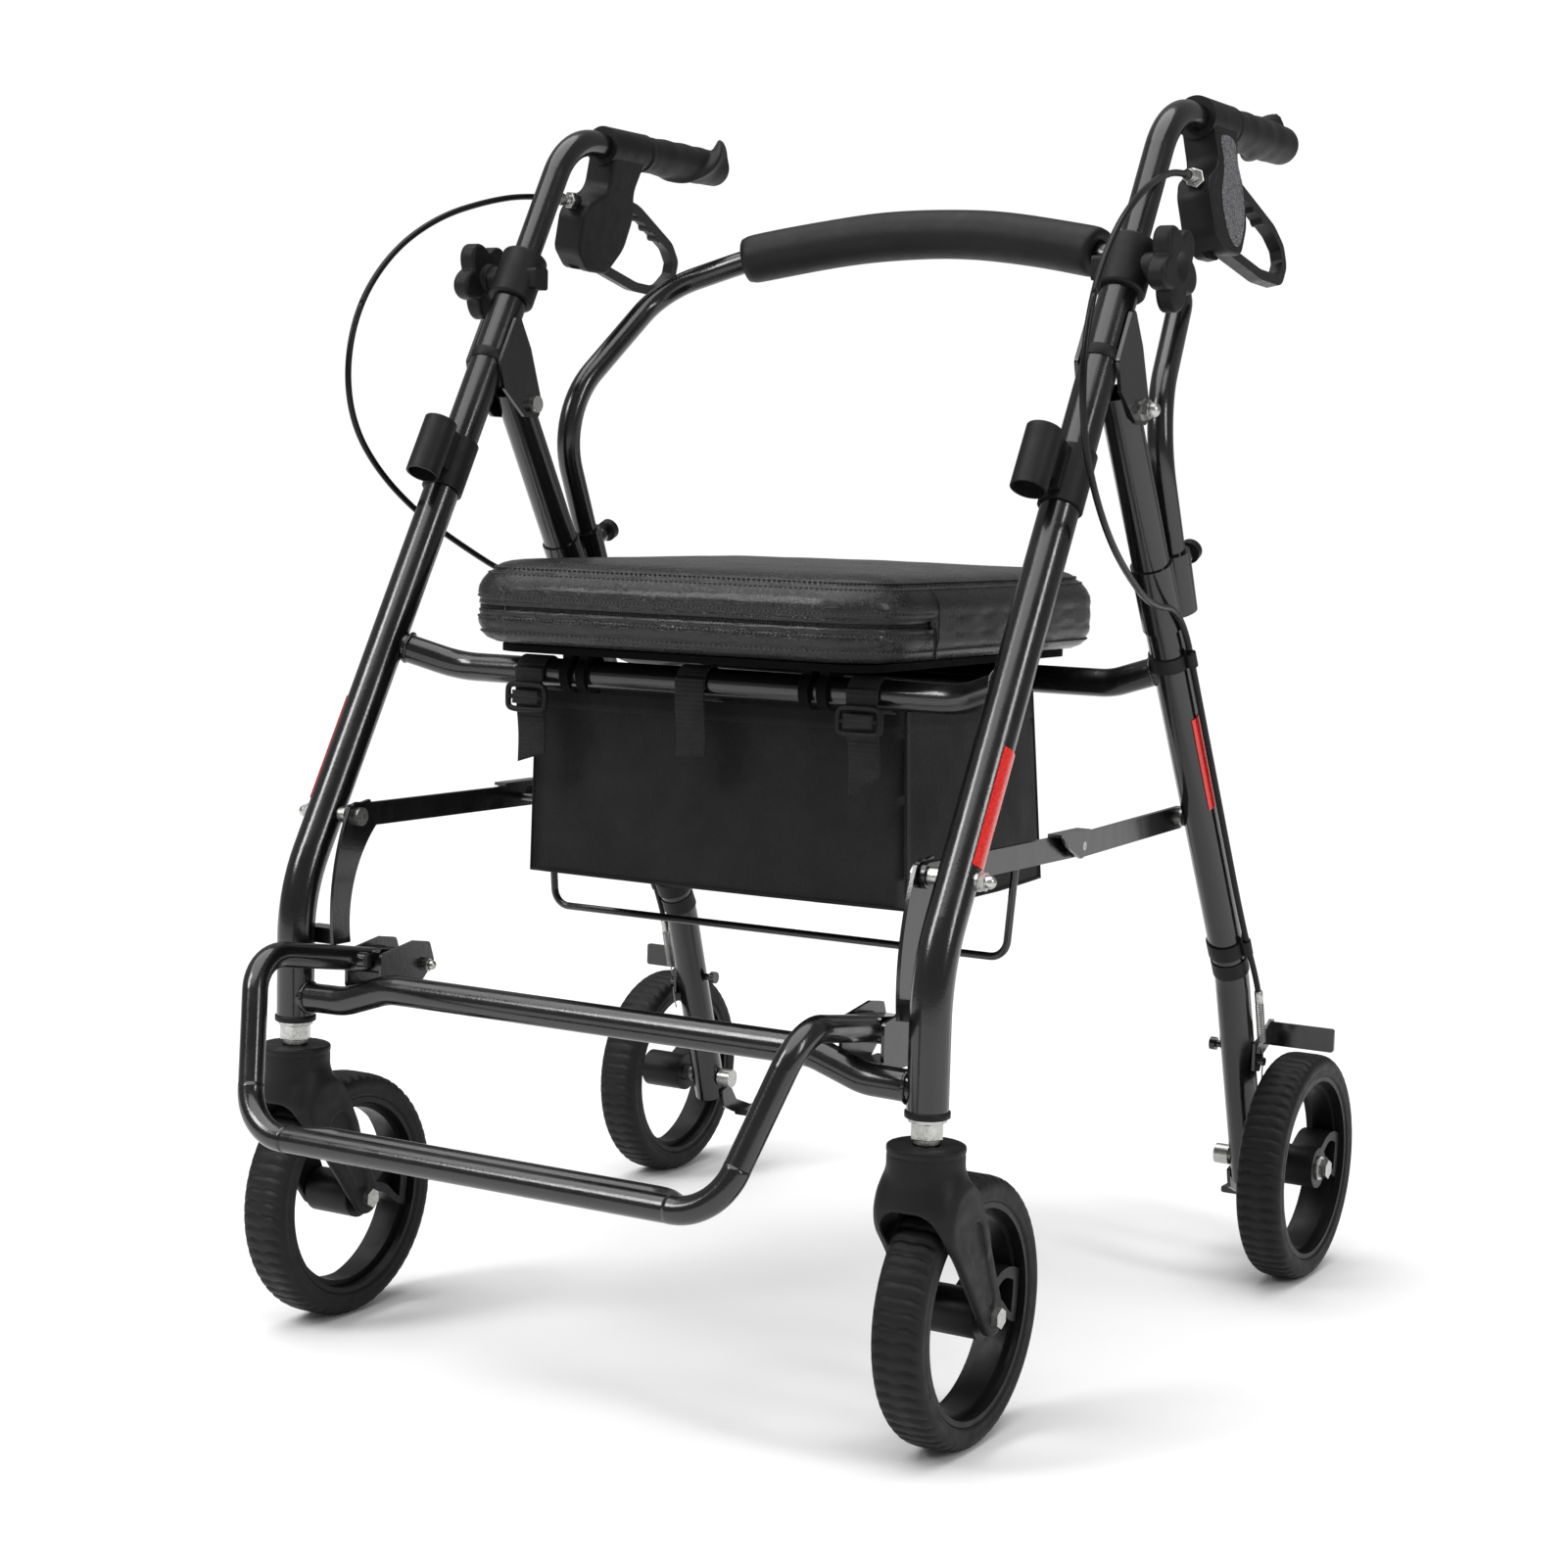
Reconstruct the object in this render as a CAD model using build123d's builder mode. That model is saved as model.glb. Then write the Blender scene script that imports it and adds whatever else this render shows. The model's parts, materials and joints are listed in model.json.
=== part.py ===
"""Rollator walker: folding steel frame on four wheels, with a padded seat, a bag, a backrest,
a swing-up footrest and two loop-lever brakes.

Row frame: millimetres, +Z up, floor at z = 0, mirror plane x = 0. The seated user and both
casters face -Y. Left and right are those of the person who walks behind, so left is +X.
"""
from math import acos, cos, sin, sqrt, radians, tan
import os

from build123d import *

os.makedirs("parts", exist_ok=True)

# ---------------------------------------------------------------- driving dimensions
LEG_X = 272.0            # plane of the legs, handles and casters
WALL = 1.5               # wall of every steel tube
LEG_R = 14.3             # leg tube radius
BAR_R = 11.1             # cross bar and handle tube radius
RUN = 0.05               # radial clearance of a running fit
GAP = 0.4                # free gap between neighbours on different bodies

STEM_Y = -272.0          # caster stem axis
LEAN = 29.5              # degrees that the front legs lean back
COLLAR = (0.0, 819.0)    # y and z of the height collar's centre, on the front leg's axis
HINGE = (0.0, 717.0)     # y and z of the folding hinge
REAR_SLOPE = 0.6         # rear leg: y gained for each millimetre down
ANKLE_Z = 262.0          # bend near the foot of the rear leg

WHEEL_R = 95.0
TYRE_W = 38.0
TRAIL = 54.0             # caster trail
REAR_WHEEL = (316.0, 327.0)   # x and y of the rear wheel's centre
GRIP_Z = 941.5           # height of the hand grips' axis

SEAT_BAR_Z = 508.0
FRONT_BAR_Y = -137.0
REAR_BAR_Y = 118.0
LINK_A = (-236.0, 396.0)      # link pivots, y and z: front leg, knee, rear leg
LINK_B = (0.0, 394.0)
LINK_C = (191.0, 398.5)
CLAMP_TILT = 11.0        # degrees that the brake housings splay outwards

lean_y = sin(radians(LEAN))
lean_z = cos(radians(LEAN))
LEG_AXIS = Vector(0, lean_y, lean_z)


def leg_point(z, x=LEG_X):
    """Point on the leaning part of the front leg's axis at height z."""
    return Vector(x, COLLAR[0] + (z - COLLAR[1]) * tan(radians(LEAN)), z)


def rear_point(z, x=LEG_X):
    """Point on the straight upper part of the rear leg's axis at height z."""
    return Vector(x, HINGE[0] + REAR_SLOPE * (HINGE[1] - z), z)


def save(part, name):
    part.label = name
    export_step(part, f"parts/{name}.step")


def save_sides(part, name):
    """Write the left part, as built at +X, and its mirror image for the right."""
    save(part, f"{name}_left")
    save(mirror(part, about=Plane.YZ), f"{name}_right")


def tube(points, radius, bends, wall=WALL):
    """Round tube along straight runs joined by tangent arcs; wall 0 gives a solid rod."""
    with BuildPart() as result:
        with BuildLine() as path:
            FilletPolyline(*points, radius=bends)
        with BuildSketch(Plane(origin=path.line @ 0, z_dir=path.line % 0)):
            Circle(radius)
            if wall:
                Circle(radius - wall, mode=Mode.SUBTRACT)
        sweep()
    return result.part


def rod(start, end, radius, inner=0.0):
    """Straight cylinder between two points, with a bore when inner is given."""
    start = Vector(start)
    end = Vector(end)
    with BuildPart() as result:
        with BuildSketch(Plane(origin=start, z_dir=end - start)):
            Circle(radius)
            if inner:
                Circle(inner, mode=Mode.SUBTRACT)
        extrude(amount=(end - start).length)
    return result.part


def hexagon(start, end, across):
    """Hexagonal prism between two points, by its size across the flats."""
    start = Vector(start)
    end = Vector(end)
    with BuildPart() as result:
        with BuildSketch(Plane(origin=start, z_dir=end - start)):
            RegularPolygon(across / 2, 6, major_radius=False)
        extrude(amount=(end - start).length)
    return result.part


def acorn(point, direction, across=10.0):
    """Domed nut that starts at a point and sticks out along a direction."""
    base = Plane(origin=point, z_dir=direction)
    with BuildPart() as result:
        with BuildSketch(base):
            RegularPolygon(across / 2, 6, major_radius=False)
        extrude(amount=4.5)
        with Locations(base.offset(4.5).location):
            Cylinder(across / 2 - 0.8, 2.0, align=(Align.CENTER, Align.CENTER, Align.MIN))
        with Locations(base.offset(6.5).location):
            Sphere(across / 2 - 0.8)
        split(bisect_by=base, keep=Keep.TOP)
    return result.part


def plate_x(outline, x0, x1, corner=0.0):
    """Flat plate in a plane across X, from a closed outline of (y, z) points."""
    with BuildPart() as result:
        with BuildSketch(Plane(origin=(x0, 0, 0), x_dir=(0, 1, 0), z_dir=(1, 0, 0))) as face:
            with BuildLine():
                Polyline(*outline, close=True)
            make_face()
            if corner:
                fillet(face.vertices(), corner)
        extrude(amount=x1 - x0)
    return result.part


# ---------------------------------------------------------------- front frame
LEG_BOTTOM = 245.0
LEG_TOP = 811.0
leg_knee = leg_point(COLLAR[1] + (STEM_Y - COLLAR[0]) / tan(radians(LEAN)))
LEG_TURN = 130.0

front_leg = tube([(LEG_X, STEM_Y, LEG_BOTTOM), leg_knee, leg_point(LEG_TOP)], LEG_R, LEG_TURN)
leg_solid = tube([(LEG_X, STEM_Y, LEG_BOTTOM), leg_knee, leg_point(LEG_TOP)], LEG_R, LEG_TURN, 0)
save_sides(front_leg, "front_leg")

BAR_BEND_X = 222.0
front_bar_path = [(LEG_X, -162, 525), (BAR_BEND_X, FRONT_BAR_Y, SEAT_BAR_Z),
                  (-BAR_BEND_X, FRONT_BAR_Y, SEAT_BAR_Z), (-LEG_X, -162, 525)]
with BuildPart() as seat_bar_front:
    add(tube(front_bar_path, BAR_R, 60))
    add(leg_solid, mode=Mode.SUBTRACT)
    add(mirror(leg_solid, about=Plane.YZ), mode=Mode.SUBTRACT)
save(seat_bar_front.part, "seat_bar_front")

CROSS_Z = 274.0
cross_path = [(LEG_X, STEM_Y, 259), (224, STEM_Y, 260), (182, STEM_Y, CROSS_Z),
              (-182, STEM_Y, CROSS_Z), (-224, STEM_Y, 260), (-LEG_X, STEM_Y, 259)]
with BuildPart() as lower_crossbar:
    add(tube(cross_path, BAR_R, [45, 55, 55, 45]))
    add(leg_solid, mode=Mode.SUBTRACT)
    add(mirror(leg_solid, about=Plane.YZ), mode=Mode.SUBTRACT)
save(lower_crossbar.part, "lower_crossbar")

# Two flat plates on each front leg hold the hinge bolt, one on each side of the rear leg.
HINGE_PLATE = 3.0
hinge_in = LEG_X - LEG_R - GAP
hinge_out = LEG_X + LEG_R + GAP
hinge_outline = [(-22, 792), (-46, 750), (-40, 728), (-11, 706), (9, 706), (11, 722), (-4, 762)]
BOLT_R = 4.0
with BuildPart() as hinge_plates:
    for inner in (hinge_in - HINGE_PLATE, hinge_out):
        add(plate_x(hinge_outline, inner, inner + HINGE_PLATE, 5))
    add(rod((LEG_X - 30, *HINGE), (LEG_X + 30, *HINGE), BOLT_R), mode=Mode.SUBTRACT)
    mirror(about=Plane.YZ)
save(hinge_plates.part, "hinge_plates")

# Pressed brackets: the footrest's channels on the crossbar, and the curved strap that braces
# each leg's bend from the link pivot down.
FOOT_X = 215.0
FOOT_PIVOT = (-209.0, 283.0)
CHANNEL_HALF = 15.0
channel_outline = [(-262, 270), (-262, 297), (-222, 303), (-203, 300), (-197, 284), (-222, 262),
                   (-250, 262)]
brace_x = 241.8
with BuildPart() as frame_brackets:
    for x0 in (FOOT_X - CHANNEL_HALF - 2.5, FOOT_X + CHANNEL_HALF):
        add(plate_x(channel_outline, x0, x0 + 2.5, 4))
    with BuildSketch(Plane.XY.offset(262)):
        with Locations((FOOT_X, -229)):
            Rectangle(2 * CHANNEL_HALF, 36)
    extrude(amount=2.5)
    add(rod((FOOT_X - 20, *FOOT_PIVOT), (FOOT_X + 20, *FOOT_PIVOT), 3.1), mode=Mode.SUBTRACT)
    add(seat_bar_front.part, mode=Mode.SUBTRACT)
    add(lower_crossbar.part, mode=Mode.SUBTRACT)
    with BuildSketch(Plane(origin=(brace_x, 0, 0), x_dir=(0, 1, 0), z_dir=(1, 0, 0))) as strap:
        with BuildLine():
            ThreePointArc((-244, 300), (-240, 348), (-214, 388))
            Line((-214, 388), (-222, 408))
            Line((-222, 408), (-246, 404))
            ThreePointArc((-246, 404), (-263, 352), (-264, 300))
            Line((-264, 300), (-244, 300))
        make_face()
        with Locations(LINK_A):
            Circle(11)
            Circle(BOLT_R, mode=Mode.SUBTRACT)
    extrude(amount=3)
    with BuildSketch(Plane.YZ.offset(brace_x)):
        with Locations((-254, 306)):
            Rectangle(16, 12)
    extrude(amount=LEG_X - brace_x)
    add(leg_solid, mode=Mode.SUBTRACT)
    mirror(about=Plane.YZ)
save(frame_brackets.part, "frame_brackets")

# Zinc fasteners of the front frame: hinge bolts, link pivot bolts and footrest pivot bolts.
with BuildPart() as frame_bolts:
    add(rod((hinge_in - 8, *HINGE), (hinge_out + HINGE_PLATE + 1, *HINGE), BOLT_R))
    add(rod((hinge_in - 8, *HINGE), (hinge_in - HINGE_PLATE, *HINGE), 7))
    add(rod((hinge_out + HINGE_PLATE, *HINGE), (hinge_out + HINGE_PLATE + 1.2, *HINGE), 8))
    add(acorn((hinge_out + HINGE_PLATE + 1.2, *HINGE), (1, 0, 0), 13))
    add(rod((239, *LINK_A), (LEG_X - LEG_R, *LINK_A), BOLT_R))
    add(rod((LEG_X + LEG_R - 0.5, *LINK_A), (288, *LINK_A), 7))
    add(acorn((288, *LINK_A), (1, 0, 0), 11))
    add(rod((250, *LINK_A), (LEG_X - LEG_R + 2, *LINK_A), 6.5))
    add(rod((238, *LINK_A), (brace_x, *LINK_A), 7))
    add(rod((FOOT_X - 19, *FOOT_PIVOT), (FOOT_X + 19, *FOOT_PIVOT), 3.0))
    add(acorn((FOOT_X - CHANNEL_HALF - 2.5, *FOOT_PIVOT), (-1, 0, 0), 9))
    add(rod((FOOT_X + CHANNEL_HALF + 2.5, *FOOT_PIVOT), (FOOT_X + 21, *FOOT_PIVOT), 5.5))
    add(front_leg, mode=Mode.SUBTRACT)
    mirror(about=Plane.YZ)
save(frame_bolts.part, "frame_bolts")

# Height collars: a moulded ring that caps the leg, with a liner that guides the handle tube.
COLLAR_HALF = 21.5
collar_axis = Plane(origin=leg_point(COLLAR[1]), z_dir=LEG_AXIS)
leg_top_offset = (LEG_TOP - COLLAR[1]) / lean_z
LINER = 45.0
with BuildPart() as height_collars:
    with Locations(collar_axis.location):
        Cylinder(19, 2 * COLLAR_HALF)
    edges_out = height_collars.edges().filter_by(GeomType.CIRCLE)
    fillet(edges_out, 2.5)
    with BuildSketch(Plane(origin=leg_point(COLLAR[1], LEG_X + 15), z_dir=(1, 0, 0))):
        Circle(11)
    extrude(amount=11)
    with BuildSketch(Plane(origin=leg_point(COLLAR[1], LEG_X - 15), z_dir=(-1, 0, 0))):
        RectangleRounded(18, 18, 3)
    extrude(amount=9)
    add(leg_solid, mode=Mode.SUBTRACT)
    with Locations(collar_axis.offset(leg_top_offset - LINER / 2).location):
        Cylinder(LEG_R - WALL, LINER)
    with Locations(collar_axis.location):
        Cylinder(BAR_R + RUN, 160, mode=Mode.SUBTRACT)
    knob_bore = (LEG_X + BAR_R, *COLLAR)
    add(rod(knob_bore, (LEG_X + 30, *COLLAR), 4 + RUN), mode=Mode.SUBTRACT)
    mirror(about=Plane.YZ)
save(height_collars.part, "height_collars")

# Cane holders: a band clipped round the leg with an open tube in front of it.
HOLDER_R = 13.3
HOLDER_BORE = 11.5
HOLDER_LEN = 48.0
HOLDER_X = LEG_X - 8
band_centre = leg_point(664)
holder_centre = Vector(HOLDER_X, leg_point(678).Y - 43, 678)
with BuildPart() as cane_holders:
    with Locations(Plane(origin=band_centre, z_dir=LEG_AXIS).location):
        Cylinder(LEG_R + 2.2, 45)
    with Locations(Plane(origin=holder_centre, z_dir=LEG_AXIS).location):
        Cylinder(HOLDER_R, HOLDER_LEN)
    web = leg_point(668, HOLDER_X + 3)
    with BuildSketch(Plane(origin=web, x_dir=(1, 0, 0), z_dir=LEG_AXIS)):
        with Locations((0, -22)):
            Rectangle(12, 24)
    extrude(amount=16, both=True)
    with BuildSketch(Plane(origin=band_centre, x_dir=(1, 0, 0), z_dir=LEG_AXIS)):
        with Locations((0, -17)):
            Rectangle(10, 9)
    extrude(amount=17, both=True)
    add(leg_solid, mode=Mode.SUBTRACT)
    with Locations(Plane(origin=holder_centre, z_dir=LEG_AXIS).location):
        Cylinder(HOLDER_BORE, HOLDER_LEN + 2, mode=Mode.SUBTRACT)
    mirror(about=Plane.YZ)
save(cane_holders.part, "cane_holders")

# Caster stems: plug in the leg, hexagon nut, washer and the bolt that the fork turns on.
FORK_TOP = 222.0
STEM_R = 6.0
STEM_HEAD_Z = 180.0
with BuildPart() as caster_stems:
    with Locations((LEG_X, STEM_Y, LEG_BOTTOM)):
        Cylinder(LEG_R - WALL, 30, align=(Align.CENTER, Align.CENTER, Align.MIN))
    with Locations((LEG_X, STEM_Y, LEG_BOTTOM - 5)):
        Cylinder(15.6, 5, align=(Align.CENTER, Align.CENTER, Align.MIN))
    with BuildSketch(Plane.XY.offset(226)):
        with Locations((LEG_X, STEM_Y)):
            RegularPolygon(10.5, 6, major_radius=False)
    extrude(amount=11)
    with Locations((LEG_X, STEM_Y, FORK_TOP + GAP)):
        Cylinder(9, 3.6, align=(Align.CENTER, Align.CENTER, Align.MIN))
    with Locations((LEG_X, STEM_Y, STEM_HEAD_Z)):
        Cylinder(STEM_R, 70, align=(Align.CENTER, Align.CENTER, Align.MIN))
        Cylinder(10, 6, align=(Align.CENTER, Align.CENTER, Align.MIN))
    mirror(about=Plane.YZ)
save(caster_stems.part, "caster_stems")

# Red reflectors on the outer faces of the legs, a thin curved strip each.
REFLECTOR = 1.0


def reflector(low, high, half_angle=34.0):
    """Strip on a leg's outer face, between two points of the leg's axis."""
    axis = high - low
    with BuildPart() as strip:
        with BuildSketch(Plane(origin=low, x_dir=(1, 0, 0), z_dir=axis)):
            Circle(LEG_R + REFLECTOR)
            Circle(LEG_R + 0.02, mode=Mode.SUBTRACT)
            with BuildLine():
                far = 60.0
                rise = far * tan(radians(half_angle))
                Polyline((0, 0), (far, rise), (far, -rise), close=True)
            make_face(mode=Mode.INTERSECT)
        extrude(amount=axis.length)
    return strip.part


with BuildPart() as front_reflectors:
    add(reflector(leg_point(404), leg_point(480)))
    mirror(about=Plane.YZ)
save(front_reflectors.part, "front_reflectors")

# ---------------------------------------------------------------- bag and straps
BAG_TOP = 500.0
BAG_FLOOR = 348.6
BAG_WALL = 3.0
bag_low = (174.6, -118.0, 119.0)     # half width, front y, rear y at the floor
bag_high = (170.0, -120.0, 101.0)    # and at the open top


def bag_ring(inset):
    """Solid between the bag's floor and its mouth, pulled in by a wall thickness."""
    floor_z = BAG_FLOOR + inset
    with BuildPart() as body:
        for (half, front, back), z in ((bag_low, floor_z), (bag_high, BAG_TOP + inset)):
            with BuildSketch(Plane.XY.offset(z)):
                with Locations((0, (front + back) / 2)):
                    RectangleRounded(2 * (half - inset), back - front - 2 * inset, 12)
        loft()
    return body.part


with BuildPart() as bag:
    add(bag_ring(0))
    add(bag_ring(BAG_WALL), mode=Mode.SUBTRACT)
save(bag.part, "bag")

STRAP_X = 146.0
STRAP_T = 1.6
TAG_W = 26.0
# Each strap loops round the front bar and hangs down the bag's front; a tri-glide buckle
# sits on it. The middle tab is the bag's hook-and-loop fastener.
with BuildPart() as bag_straps:
    for centre, half, bottom in ((STRAP_X, 13, 440), (0, 13, 452), (-STRAP_X, 13, 440)):
        bar_end = (centre + half, FRONT_BAR_Y, SEAT_BAR_Z)
        add(rod((centre - half, FRONT_BAR_Y, SEAT_BAR_Z), bar_end, BAR_R + STRAP_T, BAR_R))
        hang_y = FRONT_BAR_Y - BAR_R - STRAP_T
        tail = [(hang_y, SEAT_BAR_Z), (hang_y + STRAP_T, SEAT_BAR_Z), (hang_y + STRAP_T + 8, bottom),
                (hang_y + 8, bottom)]
        add(plate_x(tail, centre - half, centre + half))
        if centre:
            with Locations((centre, hang_y - 1, 487)):
                Box(34, 5, 17)
    bar_core = rod((-170, FRONT_BAR_Y, SEAT_BAR_Z), (170, FRONT_BAR_Y, SEAT_BAR_Z), BAR_R)
    add(bar_core, mode=Mode.SUBTRACT)
save(bag_straps.part, "bag_straps")

# ---------------------------------------------------------------- rear frame
FOOT_Z = 76.0
ankle = rear_point(ANKLE_Z)
foot_slope = (REAR_WHEEL[1] - ankle.Y) / (ANKLE_Z - WHEEL_R)


def shin_point(z, x=LEG_X):
    """Point on the rear leg's axis below its ankle bend."""
    return Vector(x, ankle.Y + foot_slope * (ANKLE_Z - z), z)


REAR_TOP = HINGE[1] + 12
axle_hole = rod((LEG_X - 40, REAR_WHEEL[1], WHEEL_R), (LEG_X + 40, REAR_WHEEL[1], WHEEL_R), 5)
BRAKE_PIVOT = (297.0, 196.0)
PIVOT_R = 3.0
rear_path = [rear_point(REAR_TOP), ankle, shin_point(FOOT_Z)]
with BuildPart() as rear_leg:
    add(tube(rear_path, LEG_R, 90))
    add(rod((LEG_X - 40, *HINGE), (LEG_X + 40, *HINGE), BOLT_R + RUN), mode=Mode.SUBTRACT)
    add(axle_hole, mode=Mode.SUBTRACT)
    brake_hole = rod((LEG_X - 40, *BRAKE_PIVOT), (LEG_X + 40, *BRAKE_PIVOT), PIVOT_R + RUN)
    add(brake_hole, mode=Mode.SUBTRACT)
save_sides(rear_leg.part, "rear_leg")
rear_solid = tube(rear_path, LEG_R, 90, 0)

rear_bar_path = [(LEG_X, 115, 524), (BAR_BEND_X, REAR_BAR_Y, SEAT_BAR_Z),
                 (-BAR_BEND_X, REAR_BAR_Y, SEAT_BAR_Z), (-LEG_X, 115, 524)]
with BuildPart() as seat_bar_rear:
    add(tube(rear_bar_path, BAR_R, 60))
    add(rear_solid, mode=Mode.SUBTRACT)
    add(mirror(rear_solid, about=Plane.YZ), mode=Mode.SUBTRACT)
save(seat_bar_rear.part, "seat_bar_rear")

# Backrest sockets: a sleeve round each rear leg with a tube welded behind it.
BACK_R = 9.8
SOCKET_R = 13.2
back_low = Vector(273, 128, 565.5)
back_turn = Vector(273, 62, 712)
back_axis = (back_turn - back_low).normalized()
socket_low = back_low + back_axis * 2
socket_high = back_low + back_axis * 52
PIN_R = 3.0
pin_point = back_low + back_axis * 38
pin_out = Vector(0, back_axis.Z, -back_axis.Y)
with BuildPart() as backrest_sockets:
    add(rod(socket_low, socket_high, SOCKET_R))
    add(rod(rear_point(556), rear_point(604), LEG_R + 1.8))
    with BuildSketch(Plane(origin=rear_point(584, LEG_X - 5), x_dir=(1, 0, 0), z_dir=(0, 1, 0))):
        with Locations((5, 0)):
            Rectangle(9, 26)
    extrude(amount=34)
    add(rod(pin_point, pin_point + pin_out * (SOCKET_R + 8), 6))
    add(rod(back_low - back_axis * 20, socket_high + back_axis, BACK_R + RUN), mode=Mode.SUBTRACT)
    add(rod(pin_point, pin_point + pin_out * 40, PIN_R + RUN), mode=Mode.SUBTRACT)
    add(rear_solid, mode=Mode.SUBTRACT)
    mirror(about=Plane.YZ)
save(backrest_sockets.part, "backrest_sockets")

# Rear axle bolts with plastic-capped heads.
AXLE_R = 5.0
HUB_HALF = 20.0
wheel_in = REAR_WHEEL[0] - HUB_HALF
wheel_out = REAR_WHEEL[0] + HUB_HALF
axle_at = (REAR_WHEEL[1], WHEEL_R)
with BuildPart() as rear_axle_bolts:
    add(rod((LEG_X - LEG_R - 6, *axle_at), (wheel_out + 9, *axle_at), AXLE_R))
    add(rod((LEG_X - LEG_R - 13, *axle_at), (LEG_X - LEG_R - 0.5, *axle_at), 8.5))
    add(rod((LEG_X + LEG_R - 1, *axle_at), (wheel_in - GAP, *axle_at), 8))
    add(rod((wheel_out + GAP, *axle_at), (wheel_out + 2, *axle_at), 10))
    add(hexagon((wheel_out + 2, *axle_at), (wheel_out + 9, *axle_at), 14))
    add(rear_leg.part, mode=Mode.SUBTRACT)
    mirror(about=Plane.YZ)
save(rear_axle_bolts.part, "rear_axle_bolts")

# Cable clips: plastic bands round the rear legs that hold the brake cable's sheath.
CABLE_R = 2.6
CABLE_X = LEG_X + LEG_R + CABLE_R + 1.9
UPPER_CLIP_Z = 531.0
LOWER_CLIP_Z = 288.0
leg_down = Vector(0, REAR_SLOPE, -1).normalized()
with BuildPart() as cable_clips:
    for z, half in ((UPPER_CLIP_Z, 6), (LOWER_CLIP_Z, 7)):
        centre = rear_point(z)
        guide = Vector(CABLE_X, centre.Y - 2, z)
        add(rod(centre - leg_down * half, centre + leg_down * half, LEG_R + 1.6))
        add(rod(guide - leg_down * half, guide + leg_down * half, CABLE_R + 1.8))
        add(rod(guide - leg_down * 20, guide + leg_down * 20, CABLE_R), mode=Mode.SUBTRACT)
    with BuildSketch(Plane(origin=rear_point(ANKLE_Z + 15), x_dir=(1, 0, 0), z_dir=leg_down)):
        Circle(LEG_R + 1.0)
    extrude(amount=14)
    add(rear_solid, mode=Mode.SUBTRACT)
    add(tube(rear_bar_path, BAR_R + 0.3, 60, 0), mode=Mode.SUBTRACT)
    mirror(about=Plane.YZ)
save(cable_clips.part, "cable_clips")

# Kerb pedals: a foot lever behind each rear leg, to tip the walker up a step.
with BuildPart() as kerb_pedals:
    pedal = [(326, 82), (340, 86), (352, 70), (390, 56), (390, 50), (348, 58), (330, 66)]
    add(plate_x(pedal, LEG_X - LEG_R - 3, LEG_X - LEG_R, 1.5))
    with BuildSketch(Plane.XZ.offset(-372)):
        with Locations((LEG_X - LEG_R - 9, 57)):
            RectangleRounded(18, 6, 2)
    extrude(amount=18, both=True)
    add(rod((LEG_X - 20, *axle_at), (LEG_X, *axle_at), 9), mode=Mode.SUBTRACT)
    mirror(about=Plane.YZ)
save(kerb_pedals.part, "kerb_pedals")

with BuildPart() as rear_reflectors:
    add(reflector(rear_point(412), rear_point(486)))
    mirror(about=Plane.YZ)
save(rear_reflectors.part, "rear_reflectors")

# ---------------------------------------------------------------- brake cables
ADJUSTER = Vector(287, 88, 893)
upper_guide = Vector(CABLE_X, rear_point(UPPER_CLIP_Z).Y - 2, UPPER_CLIP_Z)
lower_guide = Vector(CABLE_X, rear_point(LOWER_CLIP_Z).Y - 2, LOWER_CLIP_Z)
loop_route = [
    ADJUSTER + Vector(0, -10.4, 0), (292, 40, 892), (299, -6, 883), (307, -62, 865),
    (312, -114, 834), (315, -152, 790), (316, -166, 740), (315, -158, 694),
    (311, -128, 656), (304, -82, 622), (297, -30, 596), (292.5, 22, 574),
    upper_guide - leg_down * 46, upper_guide - leg_down * 7]


def route_bends(route, share=0.45):
    """Largest tangent arc radius at each inner point: a share of its shorter run."""
    points = [Vector(p) for p in route]
    radii = []
    for before, at, after in zip(points, points[1:], points[2:]):
        turn = (at - before).get_angle(after - at)
        shorter = min((at - before).length, (after - at).length)
        radii.append(share * shorter / tan(radians(turn / 2)))
    return radii


print("cable arc radii", [round(r) for r in route_bends(loop_route)])
brake_cable = tube(loop_route, CABLE_R, route_bends(loop_route), 0)
save_sides(brake_cable, "brake_cable")

# The lower run is clipped to the rear leg; its bare wire goes on through the return spring.
STOP = Vector(294, 281, 240)
ANCHOR = Vector(294, 296.5, 186)
sheath_route = [upper_guide - leg_down * 7, lower_guide + leg_down * 8,
                STOP + (STOP - ANCHOR).normalized() * 10, STOP]
with BuildPart() as lower_cables:
    add(tube(sheath_route, CABLE_R, [120, 40], 0))
    add(rod(STOP, STOP + (ANCHOR - STOP).normalized() * 3, 4))
    add(rod(STOP, ANCHOR + Vector(0, -0.5, 7), 0.8))
    mirror(about=Plane.YZ)
save(lower_cables.part, "lower_cables")

# Return springs, as the sleeve that each coil fills.
spring_low = ANCHOR + (STOP - ANCHOR).normalized() * 18
spring_high = STOP + (ANCHOR - STOP).normalized() * 3.5
with BuildPart() as brake_springs:
    add(rod(spring_low, spring_high, 3.8, 2.4))
    mirror(about=Plane.YZ)
save(brake_springs.part, "brake_springs")

# ---------------------------------------------------------------- folding links
LINK_T = 4.0
LINK_HALF = 9.0
FRONT_LINK_X = 245.5
REAR_LINK_X = FRONT_LINK_X + LINK_T + 0.5


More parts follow.
